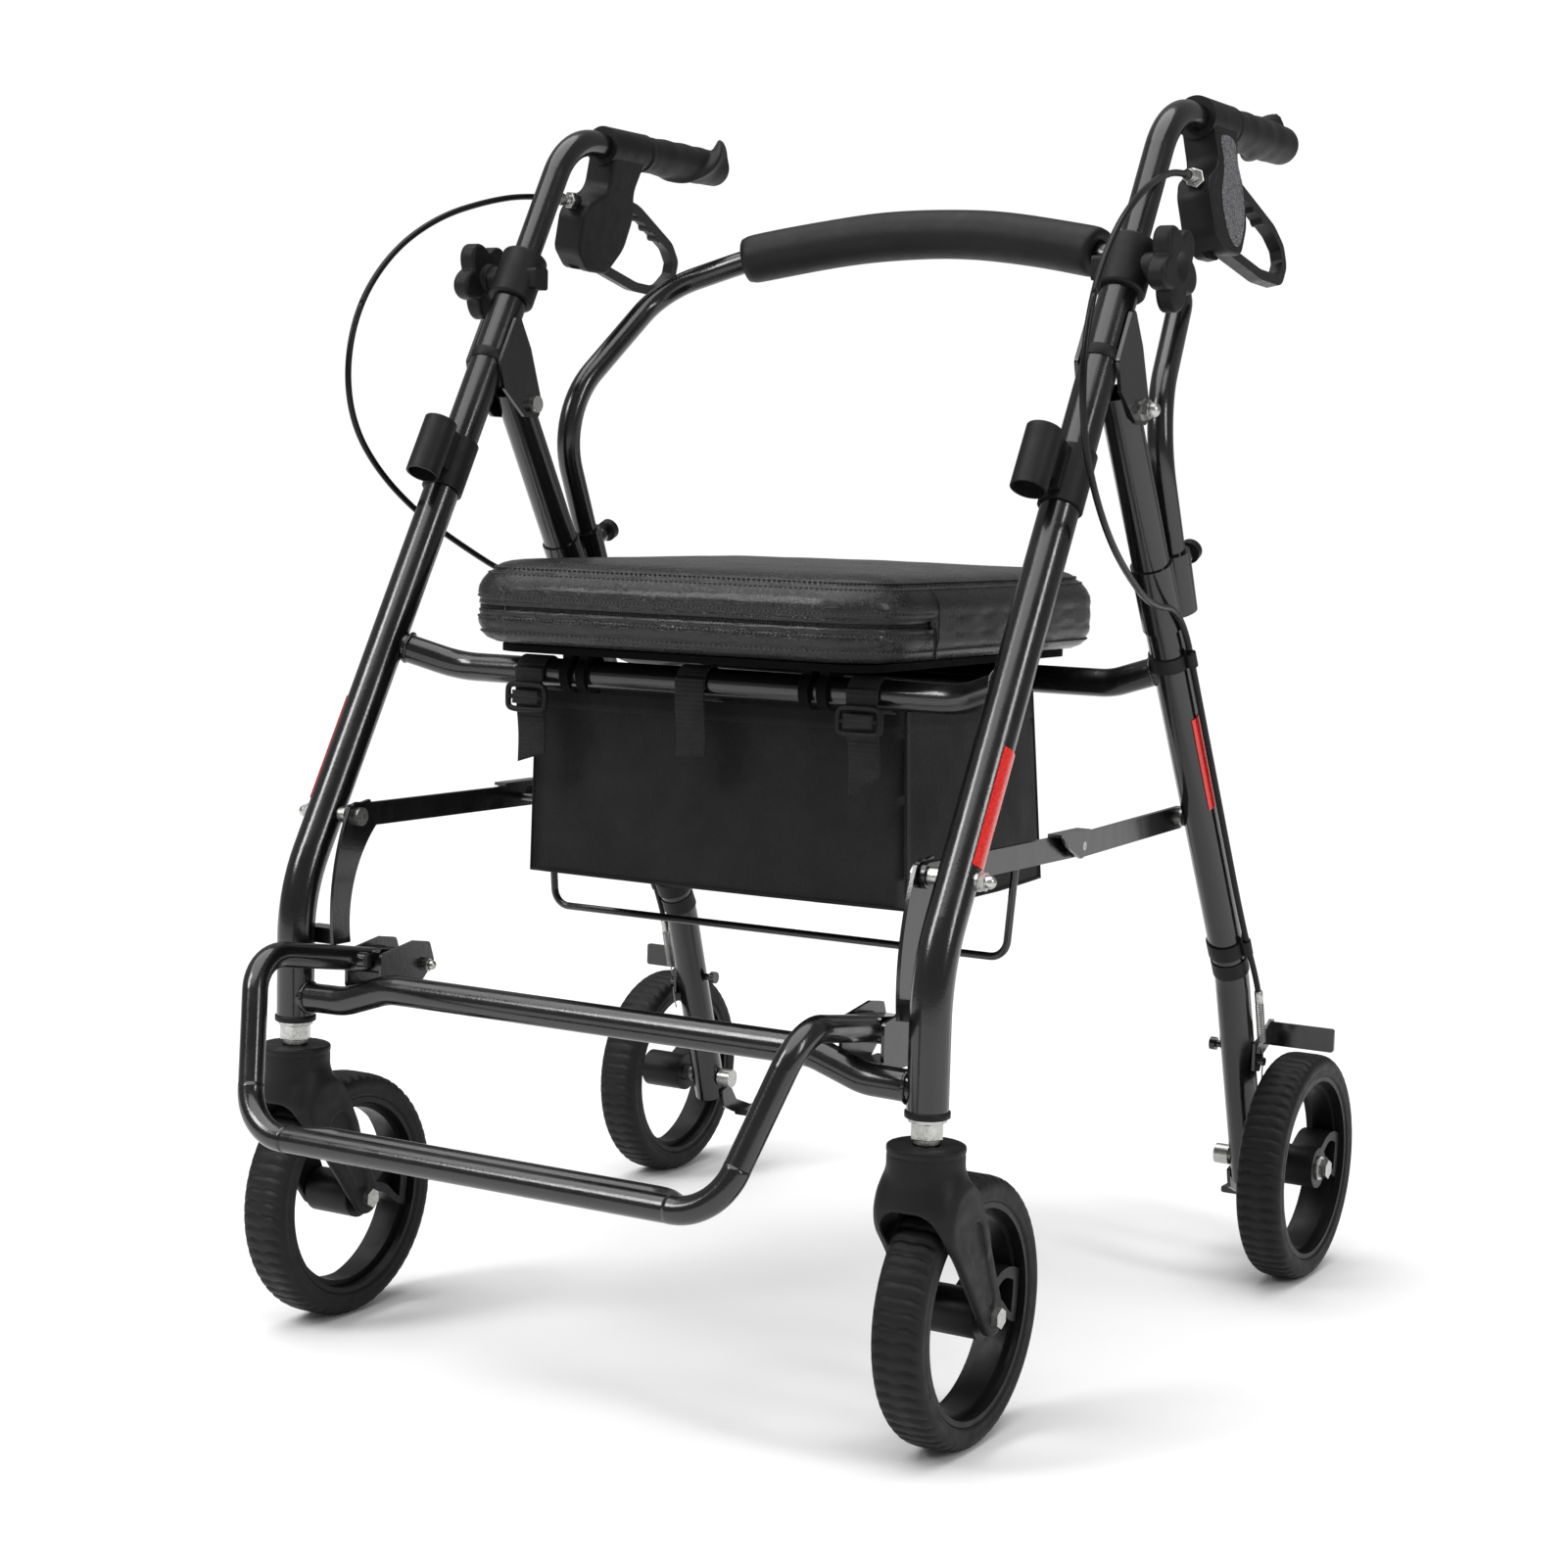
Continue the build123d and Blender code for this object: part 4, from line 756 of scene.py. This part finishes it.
def stitch_rows(name, rows, mat):
    """Rows of thread stitches that follow the seat's outline."""
    build = Builder()
    count = len(outline)
    per_step = seat_round / count
    for z, inset, pitch, only_zip in rows:
        total = int(seat_round / pitch)
        for i in range(total):
            k = i * pitch / per_step
            x, y = outline[int(k) % count][:2]
            if only_zip and zip_share(x, y) < 0.9:
                continue
            whole = int(k)
            part = k - whole
            a = seat_point(whole, z, inset, 0.3).lerp(seat_point(whole + 1, z, inset, 0.3), part)
            b = seat_point(whole + 1, z, inset, 0.3).lerp(
                seat_point(whole + 2, z, inset, 0.3), part)
            way = (b - a).normalized()
            half = pitch * 0.33
            path = [(a + way * d) * MM for d in (-half, -half * 0.6, 0, half * 0.6, half)]
            build.tube(path, [0.2 * MM, 0.75 * MM, 0.85 * MM, 0.75 * MM, 0.2 * MM], 6)
    build.make(name, mat, "seat", "seat_vinyl")


stitch_rows("seat_stitches", [(588.6, 13.0, 4.2, False), (584.2, 8.4, 4.2, False),
                              (566.6, 0.9, 3.6, True), (551.0, 0.9, 3.6, True),
                              (540.0, 2.9, 4.2, False)], THREAD)


def zipper():
    """Coil teeth in the recess of the zip band, and the slider with its pull."""
    build = Builder()
    count = len(outline)
    per_step = seat_round / count
    pitch = 1.9
    for i in range(int(seat_round / pitch)):
        k = i * pitch / per_step
        whole = int(k)
        if zip_share(*outline[whole % count][:2]) < 0.97:
            continue
        a = seat_point(whole, 558.6, 2.9, 0).lerp(seat_point(whole + 1, 558.6, 2.9, 0), k - whole)
        nx, ny = outline[whole % count][2:4]
        out = Vector((nx, ny, 0))
        for dz in (-0.65, 0.65):
            mid = a + out * 0.35 + Vector((0, 0, dz))
            path = [(mid + Vector((0, 0, d))) * MM for d in (-0.75, 0, 0.75)]
            build.tube(path, [0.4 * MM, 0.62 * MM, 0.4 * MM], 5)
    build.make("zipper_teeth", ZIPPER, "seat", "seat_vinyl")
    slider = Builder()
    x = SEAT_X
    y = ZIP_END - 5
    body = [(x - 2.2, 2.2), (x + 0.6, 3.0), (x + 1.9, 2.7), (x + 2.3, 1.6)]
    rings = []
    for px, half in body:
        ring = []
        for k in range(16):
            t = 2 * math.pi * k / 16
            ring.append(mm(px, y + 4.4 * half / 3 * math.cos(t), ZIP_Z + half * math.sin(t)))
        rings.append(ring)
    slider.grid(rings)
    loop = [mm(x + 2.6 + 0.5 * math.sin(t), y + 1.9 * math.cos(t), ZIP_Z - 9 - 8.2 * math.sin(t))
            for t in (2 * math.pi * k / 28 for k in range(28))]
    slider.tube(loop, 0.75 * MM, 8, closed=True)
    slider.tube([mm(x + 2.6, y, ZIP_Z - 16.6), mm(x + 3.0, y, ZIP_Z - 24)], 1.3 * MM, 8, flat=0.6)
    slider.make("zipper_slider", ZIPPER, "seat", "seat_vinyl")
    seam = Builder()
    strip = []
    for z in range(537, 588, 2):
        k = min(range(len(outline)), key=lambda q: abs(outline[q][0] - SEAT_X)
                + abs(outline[q][1] - (ZIP_END + 7)))
        inset = np.interp(z, [p[0] for p in SEAT_PROFILE[3:28]], [p[1] for p in SEAT_PROFILE[3:28]])
        if 550 < z < 566:
            inset = 0.6
        strip.append(seat_point(k, z, float(inset), 0.1) * MM)
    seam.tube(strip, 0.55 * MM, 8)
    seam.make("zipper_end_seam", VINYL, "seat", "seat_vinyl")


zipper()


# ---------------------------------------------------------------- backrest foam
def foam_mesh():
    end_x = 165.3
    control = [mm(-end_x, 189, 848), mm(-85, 205.5, 864), mm(0, 211.5, 869.5), mm(85, 205.5, 864),
               mm(end_x, 189, 848)]
    path = spline_points(control, 26)
    lengths = [0.0]
    for a, b in zip(path, path[1:]):
        lengths.append(lengths[-1] + (b - a).length)
    total = lengths[-1]
    radii = []
    for s in lengths:
        edge = min(s, total - s) / MM
        radii.append((20.4 - 1.6 * math.exp(-edge / 3.0) + 0.12 * math.sin(s / MM / 17)) * MM)
    rings = sweep(path, radii, 40)
    inner = sweep(path, 10.05 * MM, 40)
    lip_a = [o.lerp(i, 0.5) for o, i in zip(rings[0], inner[0])]
    lip_b = [o.lerp(i, 0.5) for o, i in zip(rings[-1], inner[-1])]
    build = Builder()
    build.torus([lip_a] + rings + [lip_b] + inner[::-1])
    return build


foam = foam_mesh().make("backrest_foam", FOAM, "backrest", "foam")
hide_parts("backrest_pad")


# ---------------------------------------------------------------- bag
bag_low, bag_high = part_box("bag")
BAG_Z0 = bag_low.z / MM
BAG_Z1 = bag_high.z / MM


def bag_ring(t, inset=0.0, count=176):
    """Outline of the bag at share t of its height, in millimetres."""
    half = 173.6 - 4.4 * t - inset
    front = -117.4 - 1.6 * t + inset
    back = 118.0 - 18 * t - inset
    mid, depth = (front + back) / 2, (back - front) / 2
    z = BAG_Z0 + 0.6 + (BAG_Z1 - BAG_Z0 - 0.8) * t
    ring = []
    for k in range(count):
        a = 2 * math.pi * k / count + 0.018
        c, s = math.cos(a), math.sin(a)
        power = 0.11
        x = half * math.copysign(abs(c) ** power, c) if abs(c) > 1e-6 else 0
        y = mid + depth * math.copysign(abs(s) ** power, s) if abs(s) > 1e-6 else mid
        # Even out the spacing along the flat sides.
        if abs(s) > abs(c):
            x = half * math.copysign(min(1.0, abs(c / s)), c)
            x = math.copysign(min(abs(x), half - 1.2 * step(abs(c / s), 0.9, 1.0)), x)
        else:
            y = mid + depth * math.copysign(min(1.0, abs(s / c)), s)
        bow = math.sin(math.pi * min(1.0, t * 0.95 + 0.03))
        from_middle = abs(x) / half if abs(s) > abs(c) else abs(y - mid) / depth
        on_face = 1 - step(from_middle, 0.55, 1.0)
        push = bow * on_face * (0.6 if inset else 1.0)
        wrinkle = on_face * (0.8 * ripple(x, y, z * 1.4, 38) + 0.35 * ripple(y, x, z, 15))
        if abs(s) > abs(c):
            y += math.copysign(-1.4 * push + wrinkle * 0.9, s)
        else:
            x += math.copysign(-2.6 * push + wrinkle, c)
        sag = 1.8 * on_face * (1 - t) ** 3 * (1 if t < 0.5 else 0)
        dip = 1.6 * t * on_face if t > 0.9 else 0
        ring.append(mm(x, y, z + (sag * 0.4 if inset else 0) - dip))
    return ring


def bag_mesh():
    levels = 22
    outer = [bag_ring(i / levels) for i in range(levels + 1)]
    inner = [bag_ring(i / levels, 1.6) for i in range(levels + 1)]
    for ring in inner:
        for p in ring:
            p.z += 0.001 if ring is inner[0] else 0

    def floor_rings(ring, sag):
        centre = sum(ring, Vector()) / len(ring)
        out = []
        for share in (0.04, 0.3, 0.6, 0.85, 0.97):
            level = []
            for p in ring:
                q = centre.lerp(p, share)
                q.z = p.z + sag * (1 - share ** 2)
                level.append(q)
            out.append(level)
        return out

    build = Builder()
    rings = floor_rings(outer[0], 0.0006) + outer
    rings += inner[::-1] + floor_rings(inner[0], 0.0006)[::-1]
    build.grid(rings)
    return build


bag = bag_mesh().make("bag_shell", CLOTH, "frame", "bag_cloth")
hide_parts("bag")


def bag_trim():
    """Bound seams down the corners and round the floor, and a hem band at the mouth."""
    build = Builder()
    ring = bag_ring(0)
    build.tube([p + mm(0, 0, 0.9) for p in ring[::2]], 1.25 * MM, 8, closed=True)
    corners = [max(range(len(ring)), key=lambda k: ring[k].x * sx + ring[k].y * sy)
               for sx in (-1, 1) for sy in (-1, 1)]
    for k in corners:
        path = [bag_ring(t / 14)[k] for t in range(15)]
        build.tube(path, 1.15 * MM, 8)
    trim = build.make("bag_piping", BINDING, "frame", "bag_cloth")
    hem = Builder()
    outer = [bag_ring(t, -0.9) for t in (0.86, 0.9, 0.95, 1.0)]
    inner = [bag_ring(t, 2.5) for t in (1.0, 0.95, 0.9, 0.86)]
    hem.torus(outer + inner)
    band = hem.make("bag_hem", BINDING, "frame", "bag_cloth")
    return trim, band


bag_pieces = [bag, *bag_trim()]


# ---------------------------------------------------------------- straps
BAR_Y, BAR_Z = -137.0, 508.0


def ribbon(build, path, half, thick, x, end_cut=0.0):
    """Flat band along a (y, z) path, as wide as 2 * half, with rounded edges."""
    rings = []
    count = len(path)
    for i, (y, z) in enumerate(path):
        y0, z0 = path[max(0, i - 1)]
        y1, z1 = path[min(count - 1, i + 1)]
        length = math.hypot(y1 - y0, z1 - z0)
        ny, nz = -(z1 - z0) / length, (y1 - y0) / length
        ring = []
        near = half - 0.5
        for dx, dn in ((-half, -0.35), (-half, 0.35), (-near, 0.5), (0, 0.5), (near, 0.5),
                       (half, 0.35), (half, -0.35), (near, -0.5), (0, -0.5), (-near, -0.5)):
            slant = end_cut * (dx / half) * step(i / (count - 1), 0.75, 1.0)
            ring.append(mm(x + dx, y + ny * dn * thick, z + nz * dn * thick + slant))
        rings.append(ring)
    build.grid(rings)


def strap_set():
    cloth = Builder()
    buckle = Builder()
    for centre, half, drop, cut in ((146, 12.6, 68, 9), (0, 12.6, 55, 0.5), (-146, 12.6, 66, 4)):
        loop = []
        for k in range(30):
            a = math.radians(200 - 262 * k / 29)
            loop.append((BAR_Y + 12.3 * math.cos(a), BAR_Z + 12.3 * math.sin(a)))
        ribbon(cloth, loop, half, 1.5, centre)
        back = [(BAR_Y + 5.8 + 11.2 * step(i, 0, 5), BAR_Z - 10.9 - 0.9 * i) for i in range(5)]
        ribbon(cloth, back, half, 1.4, centre)
        curl = 5.0 if centre > 0 else (2.0 if centre else 0.8)
        tail = []
        for i in range(26):
            t = i / 25
            y = BAR_Y - 12.6 + 4.5 * t + curl * math.sin(2.2 * t) * t - 1.2 * math.sin(7 * t) * t
            tail.append((y - 1.4, BAR_Z + 4 - (drop + 4) * t))
        ribbon(cloth, tail, half, 1.5, centre, cut)
        if centre:
            y = BAR_Y - 16.6
            z = BAR_Z - 19
            frame_path = []
            for k in range(40):
                a = 2 * math.pi * k / 40
                c, s = math.cos(a), math.sin(a)
                fx = 17.2 * math.copysign(abs(c) ** 0.35, c)
                fz = 9.6 * math.copysign(abs(s) ** 0.35, s)
                frame_path.append(mm(centre + fx, y + 0.0006 * fx * fx, z + fz))
            buckle.tube(frame_path, 2.3 * MM, 10, closed=True)
            buckle.tube([mm(centre + d, y - 0.5, z) for d in (-16.4, -8, 0, 8, 16.4)], 1.9 * MM, 10)
            over = [(y - 2.2 + 0.9 * math.cos(math.radians(a)), z + 4.6 * math.sin(math.radians(a)))
                    for a in range(-90, 100, 15)]
            ribbon(cloth, over, half * 0.94, 1.3, centre)
    straps = cloth.make("bag_webbing", WEBBING, "frame", "webbing")
    buckle.make("tri_glides", PLASTIC, "frame", "plastic")
    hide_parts("bag_straps")


strap_set()


# ---------------------------------------------------------------- cables and springs
CABLE_R = 2.5 * MM
UPPER_CLIP = (290.8, 109.6, 531.0)
LEG_DOWN = Vector((0, 0.51450, -0.85749))


def clip_point(distance):
    return tuple(Vector(UPPER_CLIP) + LEG_DOWN * distance)


LOOP = [(287, 77.6, 893), (292, 40, 892), (299, -6, 883), (307, -62, 865), (312, -114, 834),
        (315, -152, 790), (316, -166, 740), (315, -158, 694), (311, -128, 656), (304, -82, 622),
        (297, -30, 596), (292.5, 22, 574), clip_point(-46), clip_point(-7)]
STOP = Vector((294, 281, 240))
ANCHOR = Vector((294, 296.5, 186))
LOWER = [clip_point(-7), (290.8, 180, 413.6), (290.8, 246, 303.6),
         tuple(STOP + (STOP - ANCHOR).normalized() * 14), tuple(STOP)]


for side, sign in SIDES:
    points = spline_points([mm(sign * x, y, z) for x, y, z in LOOP], 14)
    split = min(range(len(points)), key=lambda k: (points[k] - mm(sign * 315, -152, 790)).length)
    upper = Builder()
    upper.tube(points[:split + 1], CABLE_R, 14)
    top = upper.make("cable_upper_" + side, SHEATH, None, "cable_sheath")
    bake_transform(top)
    lower = Builder()
    lower.tube(points[split:], CABLE_R, 14)
    low_piece = lower.make("cable_lower_" + side, SHEATH, None, "cable_sheath")
    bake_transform(low_piece)
    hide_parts("brake_cable_" + side)
    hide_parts("brake_cable_" + side)

run = Builder()
run.tube(spline_points([mm(*p) for p in LOWER], 20), CABLE_R, 14)
ferrule_way = (ANCHOR - STOP).normalized()
run.mirror()
lower_run = run.make("cable_leg_run", SHEATH, "rear_frame", "cable_sheath")
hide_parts("lower_cables")

metal = Builder()
metal.tube([(STOP + ferrule_way * d) * MM for d in (-9, -8.4, 2.6, 3.2)],
           [2.9 * MM, 3.5 * MM, 3.5 * MM, 2.9 * MM], 18)
metal.tube([(STOP + ferrule_way * d) * MM for d in (2, 20, 40, 54)], 0.75 * MM, 8)
tail_way = Vector((-0.05, -0.1, -1)).normalized()
metal.tube([(ANCHOR + tail_way * d + Vector((0, 0.02 * d * d, 0)) * 0.6) * MM
            for d in (0, 8, 16, 24)], 0.7 * MM, 8)
metal.mirror()
metal.make("brake_wires", ZINC, "rear_frame", "zinc")


def coil(low, high, radius, wire, turns):
    axis = (high - low).normalized()
    side = axis.cross(Vector((1, 0, 0))).normalized()
    other = axis.cross(side)
    total = int(turns * 18)
    path = []
    for k in range(total + 1):
        t = k / total
        close = 0.5 - 0.5 * math.cos(math.pi * t)
        along = 0.15 * close + 0.85 * t
        a = 2 * math.pi * turns * t
        path.append(low.lerp(high, along) + side * radius * math.cos(a)
                    + other * radius * math.sin(a))
    return sweep(path, wire, 7)


spring_low = (ANCHOR - ferrule_way * 18) * MM
spring_high = (STOP + ferrule_way * 3.5) * MM
springs = Builder()
springs.grid(coil(spring_low, spring_high, 3.15 * MM, 0.6 * MM, 17))
springs.mirror()
spring_piece = springs.make("return_coils", SPRING, "rear_frame", "spring_steel")
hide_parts("brake_springs")


def prism(build, centre, axis, radius, low, high, sides, chamfer=0.6, up=(0.2, 0.3, 0.93)):
    """Bar with this many flats from low to high along an axis, chamfered at both ends."""
    axis = Vector(axis).normalized()
    side = Vector(up).cross(axis).normalized()
    other = axis.cross(side)
    rings = []
    for along, r in ((low, radius - chamfer), (low + chamfer * 0.6, radius),
                     (high - chamfer * 0.6, radius), (high, radius - chamfer)):
        rings.append([(Vector(centre) + axis * along + side * r * math.cos(a)
                       + other * r * math.sin(a)) * MM
                      for a in (2 * math.pi * k / sides for k in range(sides))])
    build.grid(rings)


for side, sign in SIDES:
    adjuster = Builder()
    start = (sign * 287, 84, 893)
    nut_way = (sign * -0.31, 0.95, 0)
    prism(adjuster, start, nut_way, 7.5, 6.0, 12.2, 6)
    prism(adjuster, start, nut_way, 4.3, -0.5, 6.2, 24, 0.2)
    prism(adjuster, start, (0, 1, 0), 4.7, -12, 0.6, 24, 0.5)
    prism(adjuster, start, (0, 1, 0), 5.5, -7, -3, 24, 0.4)
    adjuster.make("cable_adjuster_" + side, ZINC, "handle_" + side, "zinc", smooth=False)

# Caster stems: black plug in the leg's end, washer, hexagon nut and bolt.
stem_foot = (LEG_X, STEM_Y, 0)
up_way, along_y = (0, 0, 1), (0, 1, 0)
stem_low, stem_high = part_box("caster_stems")
plugs = Builder()
prism(plugs, stem_foot, up_way, 15.6, 240, 245, 48, 1.0, along_y)
prism(plugs, stem_foot, up_way, 12.6, 244, stem_high.z / MM - 0.1, 48, 0.5, along_y)
plugs.mirror()
stem_plugs = plugs.make("stem_plugs", PLASTIC, "frame", "plastic")
nuts = Builder()
prism(nuts, stem_foot, up_way, 13.2, 237.4, 240.1, 48, 0.5, along_y)
prism(nuts, stem_foot, up_way, 12.1, 226, 237.4, 6, 0.9, along_y)
prism(nuts, stem_foot, up_way, 9.0, 222.4, 226, 40, 0.5, along_y)
prism(nuts, stem_foot, up_way, 6.0, stem_low.z / MM + 0.1, 236, 24, 0.4, along_y)
prism(nuts, stem_foot, up_way, 10.0, stem_low.z / MM, stem_low.z / MM + 6, 6, 0.6, along_y)
nuts.mirror()
stem_nuts = nuts.make("stem_nuts", ZINC, "frame", "zinc", smooth=False)
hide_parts("caster_stems")
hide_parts("caster_stems")


# ---------------------------------------------------------------- small details
def weld(build, centre, axis, radius):
    """Beaded weld ring round a tube's end."""
    axis = Vector(axis).normalized()
    side = axis.cross(Vector((0.2, 0.3, 0.93))).normalized()
    other = axis.cross(side)
    path = []
    radii = []
    for k in range(72):
        a = 2 * math.pi * k / 72
        wobble = 0.16 * math.sin(a * 24) + 0.1 * math.sin(a * 7 + 1)
        path.append((Vector(centre) + side * radius * math.cos(a) + other * radius * math.sin(a)
                     + axis * wobble) * MM)
        radii.append((1.5 + 0.22 * math.sin(a * 24)) * MM)
    build.torus(sweep(path, radii, 8, closed=True))


front_welds = Builder()
weld(front_welds, (258.5, -155, 521), (1, -0.35, 0.3), 11.3)
weld(front_welds, (258, -272, 259.2), (1, 0, -0.03), 11.3)
front_welds.mirror()
front_welds.make("front_welds", COAT, "frame", "frame_steel")
rear_welds = Builder()
weld(rear_welds, (258.3, 115.8, 520.5), (1, 0, 0.25), 11.3)
rear_welds.mirror()
rear_welds.make("rear_welds", COAT, "rear_frame", "frame_steel")

# Skins over the two lower bends of the footrest, where its CAD wall is open.
FOOT_R = 9.52
BEND_R = 42
bend = Vector((194, cad_low.y / MM + 9.4, 190))
to_arm = (Vector((229, -366, 309)) - bend).normalized()
to_bar = Vector((-1, 0, 0))
half_bend = to_arm.angle(to_bar) / 2
reach = BEND_R / math.tan(half_bend)
bend_centre = bend + (to_arm + to_bar).normalized() * (BEND_R / math.sin(half_bend))
turn = math.pi - 2 * half_bend
from_arm = (bend + to_arm * reach - bend_centre) / BEND_R
bend_path = [bend + to_arm * (reach + 3)]
for k in range(25):
    bend_path.append(bend_centre + (from_arm * math.cos(turn * k / 24)
                                    - to_arm * math.sin(turn * k / 24)) * BEND_R)
bend_path.append(bend + to_bar * (reach + 3))
bends = Builder()
bends.tube([point * MM for point in bend_path], FOOT_R * MM, 32)
bends.mirror()
bends.make("footrest_bends", COAT, "footrest", "frame_steel")

# Clear-cut ring mark part way up each front leg.
lean = math.radians(29.5)
leg_way = Vector((0, math.sin(lean), math.cos(lean)))


def leg_at(z):
    return Vector((LEG_X, (z - 819) * math.tan(lean), z))


MARK_Z, MARK_HALF = 752, 4.5
marks = Builder()
profile = [(-MARK_HALF, 14.35), (-MARK_HALF, 15.0), (-MARK_HALF + 0.5, 15.3),
           (MARK_HALF - 0.5, 15.3), (MARK_HALF, 15.0), (MARK_HALF, 14.35)]
rings = []
for k in range(64):
    a = 2 * math.pi * k / 64
    side_way = Vector((1, 0, 0)) * math.cos(a) + leg_way.cross(Vector((1, 0, 0))) * math.sin(a)
    rings.append([(leg_at(MARK_Z) + leg_way * d + side_way * r) * MM for d, r in profile])
marks.torus(rings)
marks.mirror()
marks.make("leg_rings", PLASTIC, "frame", "plastic")


def label_plate():
    """Plain grey cover plate on the outer face of a brake housing."""
    tilt = math.radians(11)
    hang = Vector((math.sin(tilt), 0, -math.cos(tilt)))
    across = Vector((math.cos(tilt), 0, math.sin(tilt)))
    outline_ = [(127, 14), (160, 14), (155, 34), (161, 56), (155, 80), (138, 101), (124, 101),
                (114, 88), (113, 62), (126, 46), (130, 30)]
    smooth_ = []
    count = len(outline_)
    for k in range(count):
        a, b, c = (Vector(outline_[(k + d) % count]) for d in (-1, 0, 1))
        for t in (0.0, 0.25, 0.5, 0.75):
            p = (a + b) / 2 * (1 - t) ** 2 + b * 2 * t * (1 - t) + (b + c) / 2 * t ** 2
            smooth_.append(p)
    middle = sum(smooth_, Vector((0, 0))) / len(smooth_)
    build = Builder()
    rings = []
    for share, height in ((1.0, 13.6), (1.0, 14.3), (0.985, 14.7), (0.93, 14.7), (0.915, 14.4),
                          (0.88, 14.4), (0.5, 14.4), (0.05, 14.4)):
        ring = []
        for p in smooth_:
            q = middle + (p - middle) * share
            v = Vector((LEG_X, q.x, GRIP_Z)) + hang * q.y + across * height
            ring.append(mm(v.x, v.y, v.z))
        rings.append(ring)
    build.grid(rings)
    return build


for side, sign in SIDES:
    mirrored(label_plate(), sign).make("cover_plate_" + side, LABEL, "handle_" + side, "plastic")

for piece_ in bag_pieces:
    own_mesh(piece_)

# ---------------------------------------------------------------- stage, light and camera
bpy.ops.mesh.primitive_plane_add(size=14, location=(0, 0, 0))
floor = bpy.context.object
floor.name = "floor"
floor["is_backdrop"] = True
floor_mat = new_material("floor_paint", (0.9, 0.9, 0.9), 0.6)[0]
floor.data.materials.append(floor_mat)

world = bpy.data.worlds.new("studio")
bpy.context.scene.world = world
world.use_nodes = True
sky = world.node_tree.nodes["Background"]
sky.inputs["Color"].default_value = (1, 1, 1, 1)
sky.inputs["Strength"].default_value = 0.3
backdrop = world.node_tree.nodes.new("ShaderNodeBackground")
backdrop.inputs["Color"].default_value = (1, 1, 1, 1)
path = world.node_tree.nodes.new("ShaderNodeLightPath")
mix = world.node_tree.nodes.new("ShaderNodeMixShader")
world.node_tree.links.new(path.outputs["Is Camera Ray"], mix.inputs[0])
world.node_tree.links.new(sky.outputs[0], mix.inputs[1])
world.node_tree.links.new(backdrop.outputs[0], mix.inputs[2])
world.node_tree.links.new(mix.outputs[0], world.node_tree.nodes["World Output"].inputs["Surface"])


def area_light(name, place, target, size, power, wide=1.0):
    data = bpy.data.lights.new(name, "AREA")
    data.shape = "RECTANGLE"
    data.size = size
    data.size_y = size * wide
    data.energy = power
    obj = bpy.data.objects.new(name, data)
    obj.location = place
    obj.rotation_euler = (Vector(target) - Vector(place)).to_track_quat("-Z", "Y").to_euler()
    bpy.context.scene.collection.objects.link(obj)


area_light("key", (-1.7, -2.6, 2.7), (0, 0, 0.5), 0.9, 60, 1.6)
area_light("fill", (3.0, -0.6, 1.9), (0, 0, 0.5), 0.5, 30, 3.0)
overhead = bpy.data.lights.new("overhead", "SUN")
overhead.energy = 3.0
overhead.angle = math.radians(70)
overhead_lamp = bpy.data.objects.new("overhead", overhead)
overhead_lamp.rotation_euler = (math.radians(8), math.radians(-6), 0)
bpy.context.scene.collection.objects.link(overhead_lamp)

CAMERA_PLACE = (1.1021, -1.8880, 0.6536)
CAMERA_LENS = 63.78
yaw, dip, roll = (math.radians(angle) for angle in (30.38, 6.08, 1.51))
right = Vector((math.cos(yaw), math.sin(yaw), 0))
ahead = Vector((-math.sin(yaw) * math.cos(dip), math.cos(yaw) * math.cos(dip), -math.sin(dip)))
above = right.cross(ahead)
cam_x = right * math.cos(roll) + above * math.sin(roll)
cam_y = above * math.cos(roll) - right * math.sin(roll)
camera_data = bpy.data.cameras.new("camera")
camera_data.lens = CAMERA_LENS
camera_data.sensor_width = 36
camera = bpy.data.objects.new("camera", camera_data)
rows = Matrix((cam_x, cam_y, -ahead)).transposed().to_4x4()
camera.matrix_world = Matrix.Translation(CAMERA_PLACE) @ rows
bpy.context.scene.collection.objects.link(camera)
bpy.context.scene.camera = camera
bpy.context.scene.view_settings.view_transform = "Standard"

low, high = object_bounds()
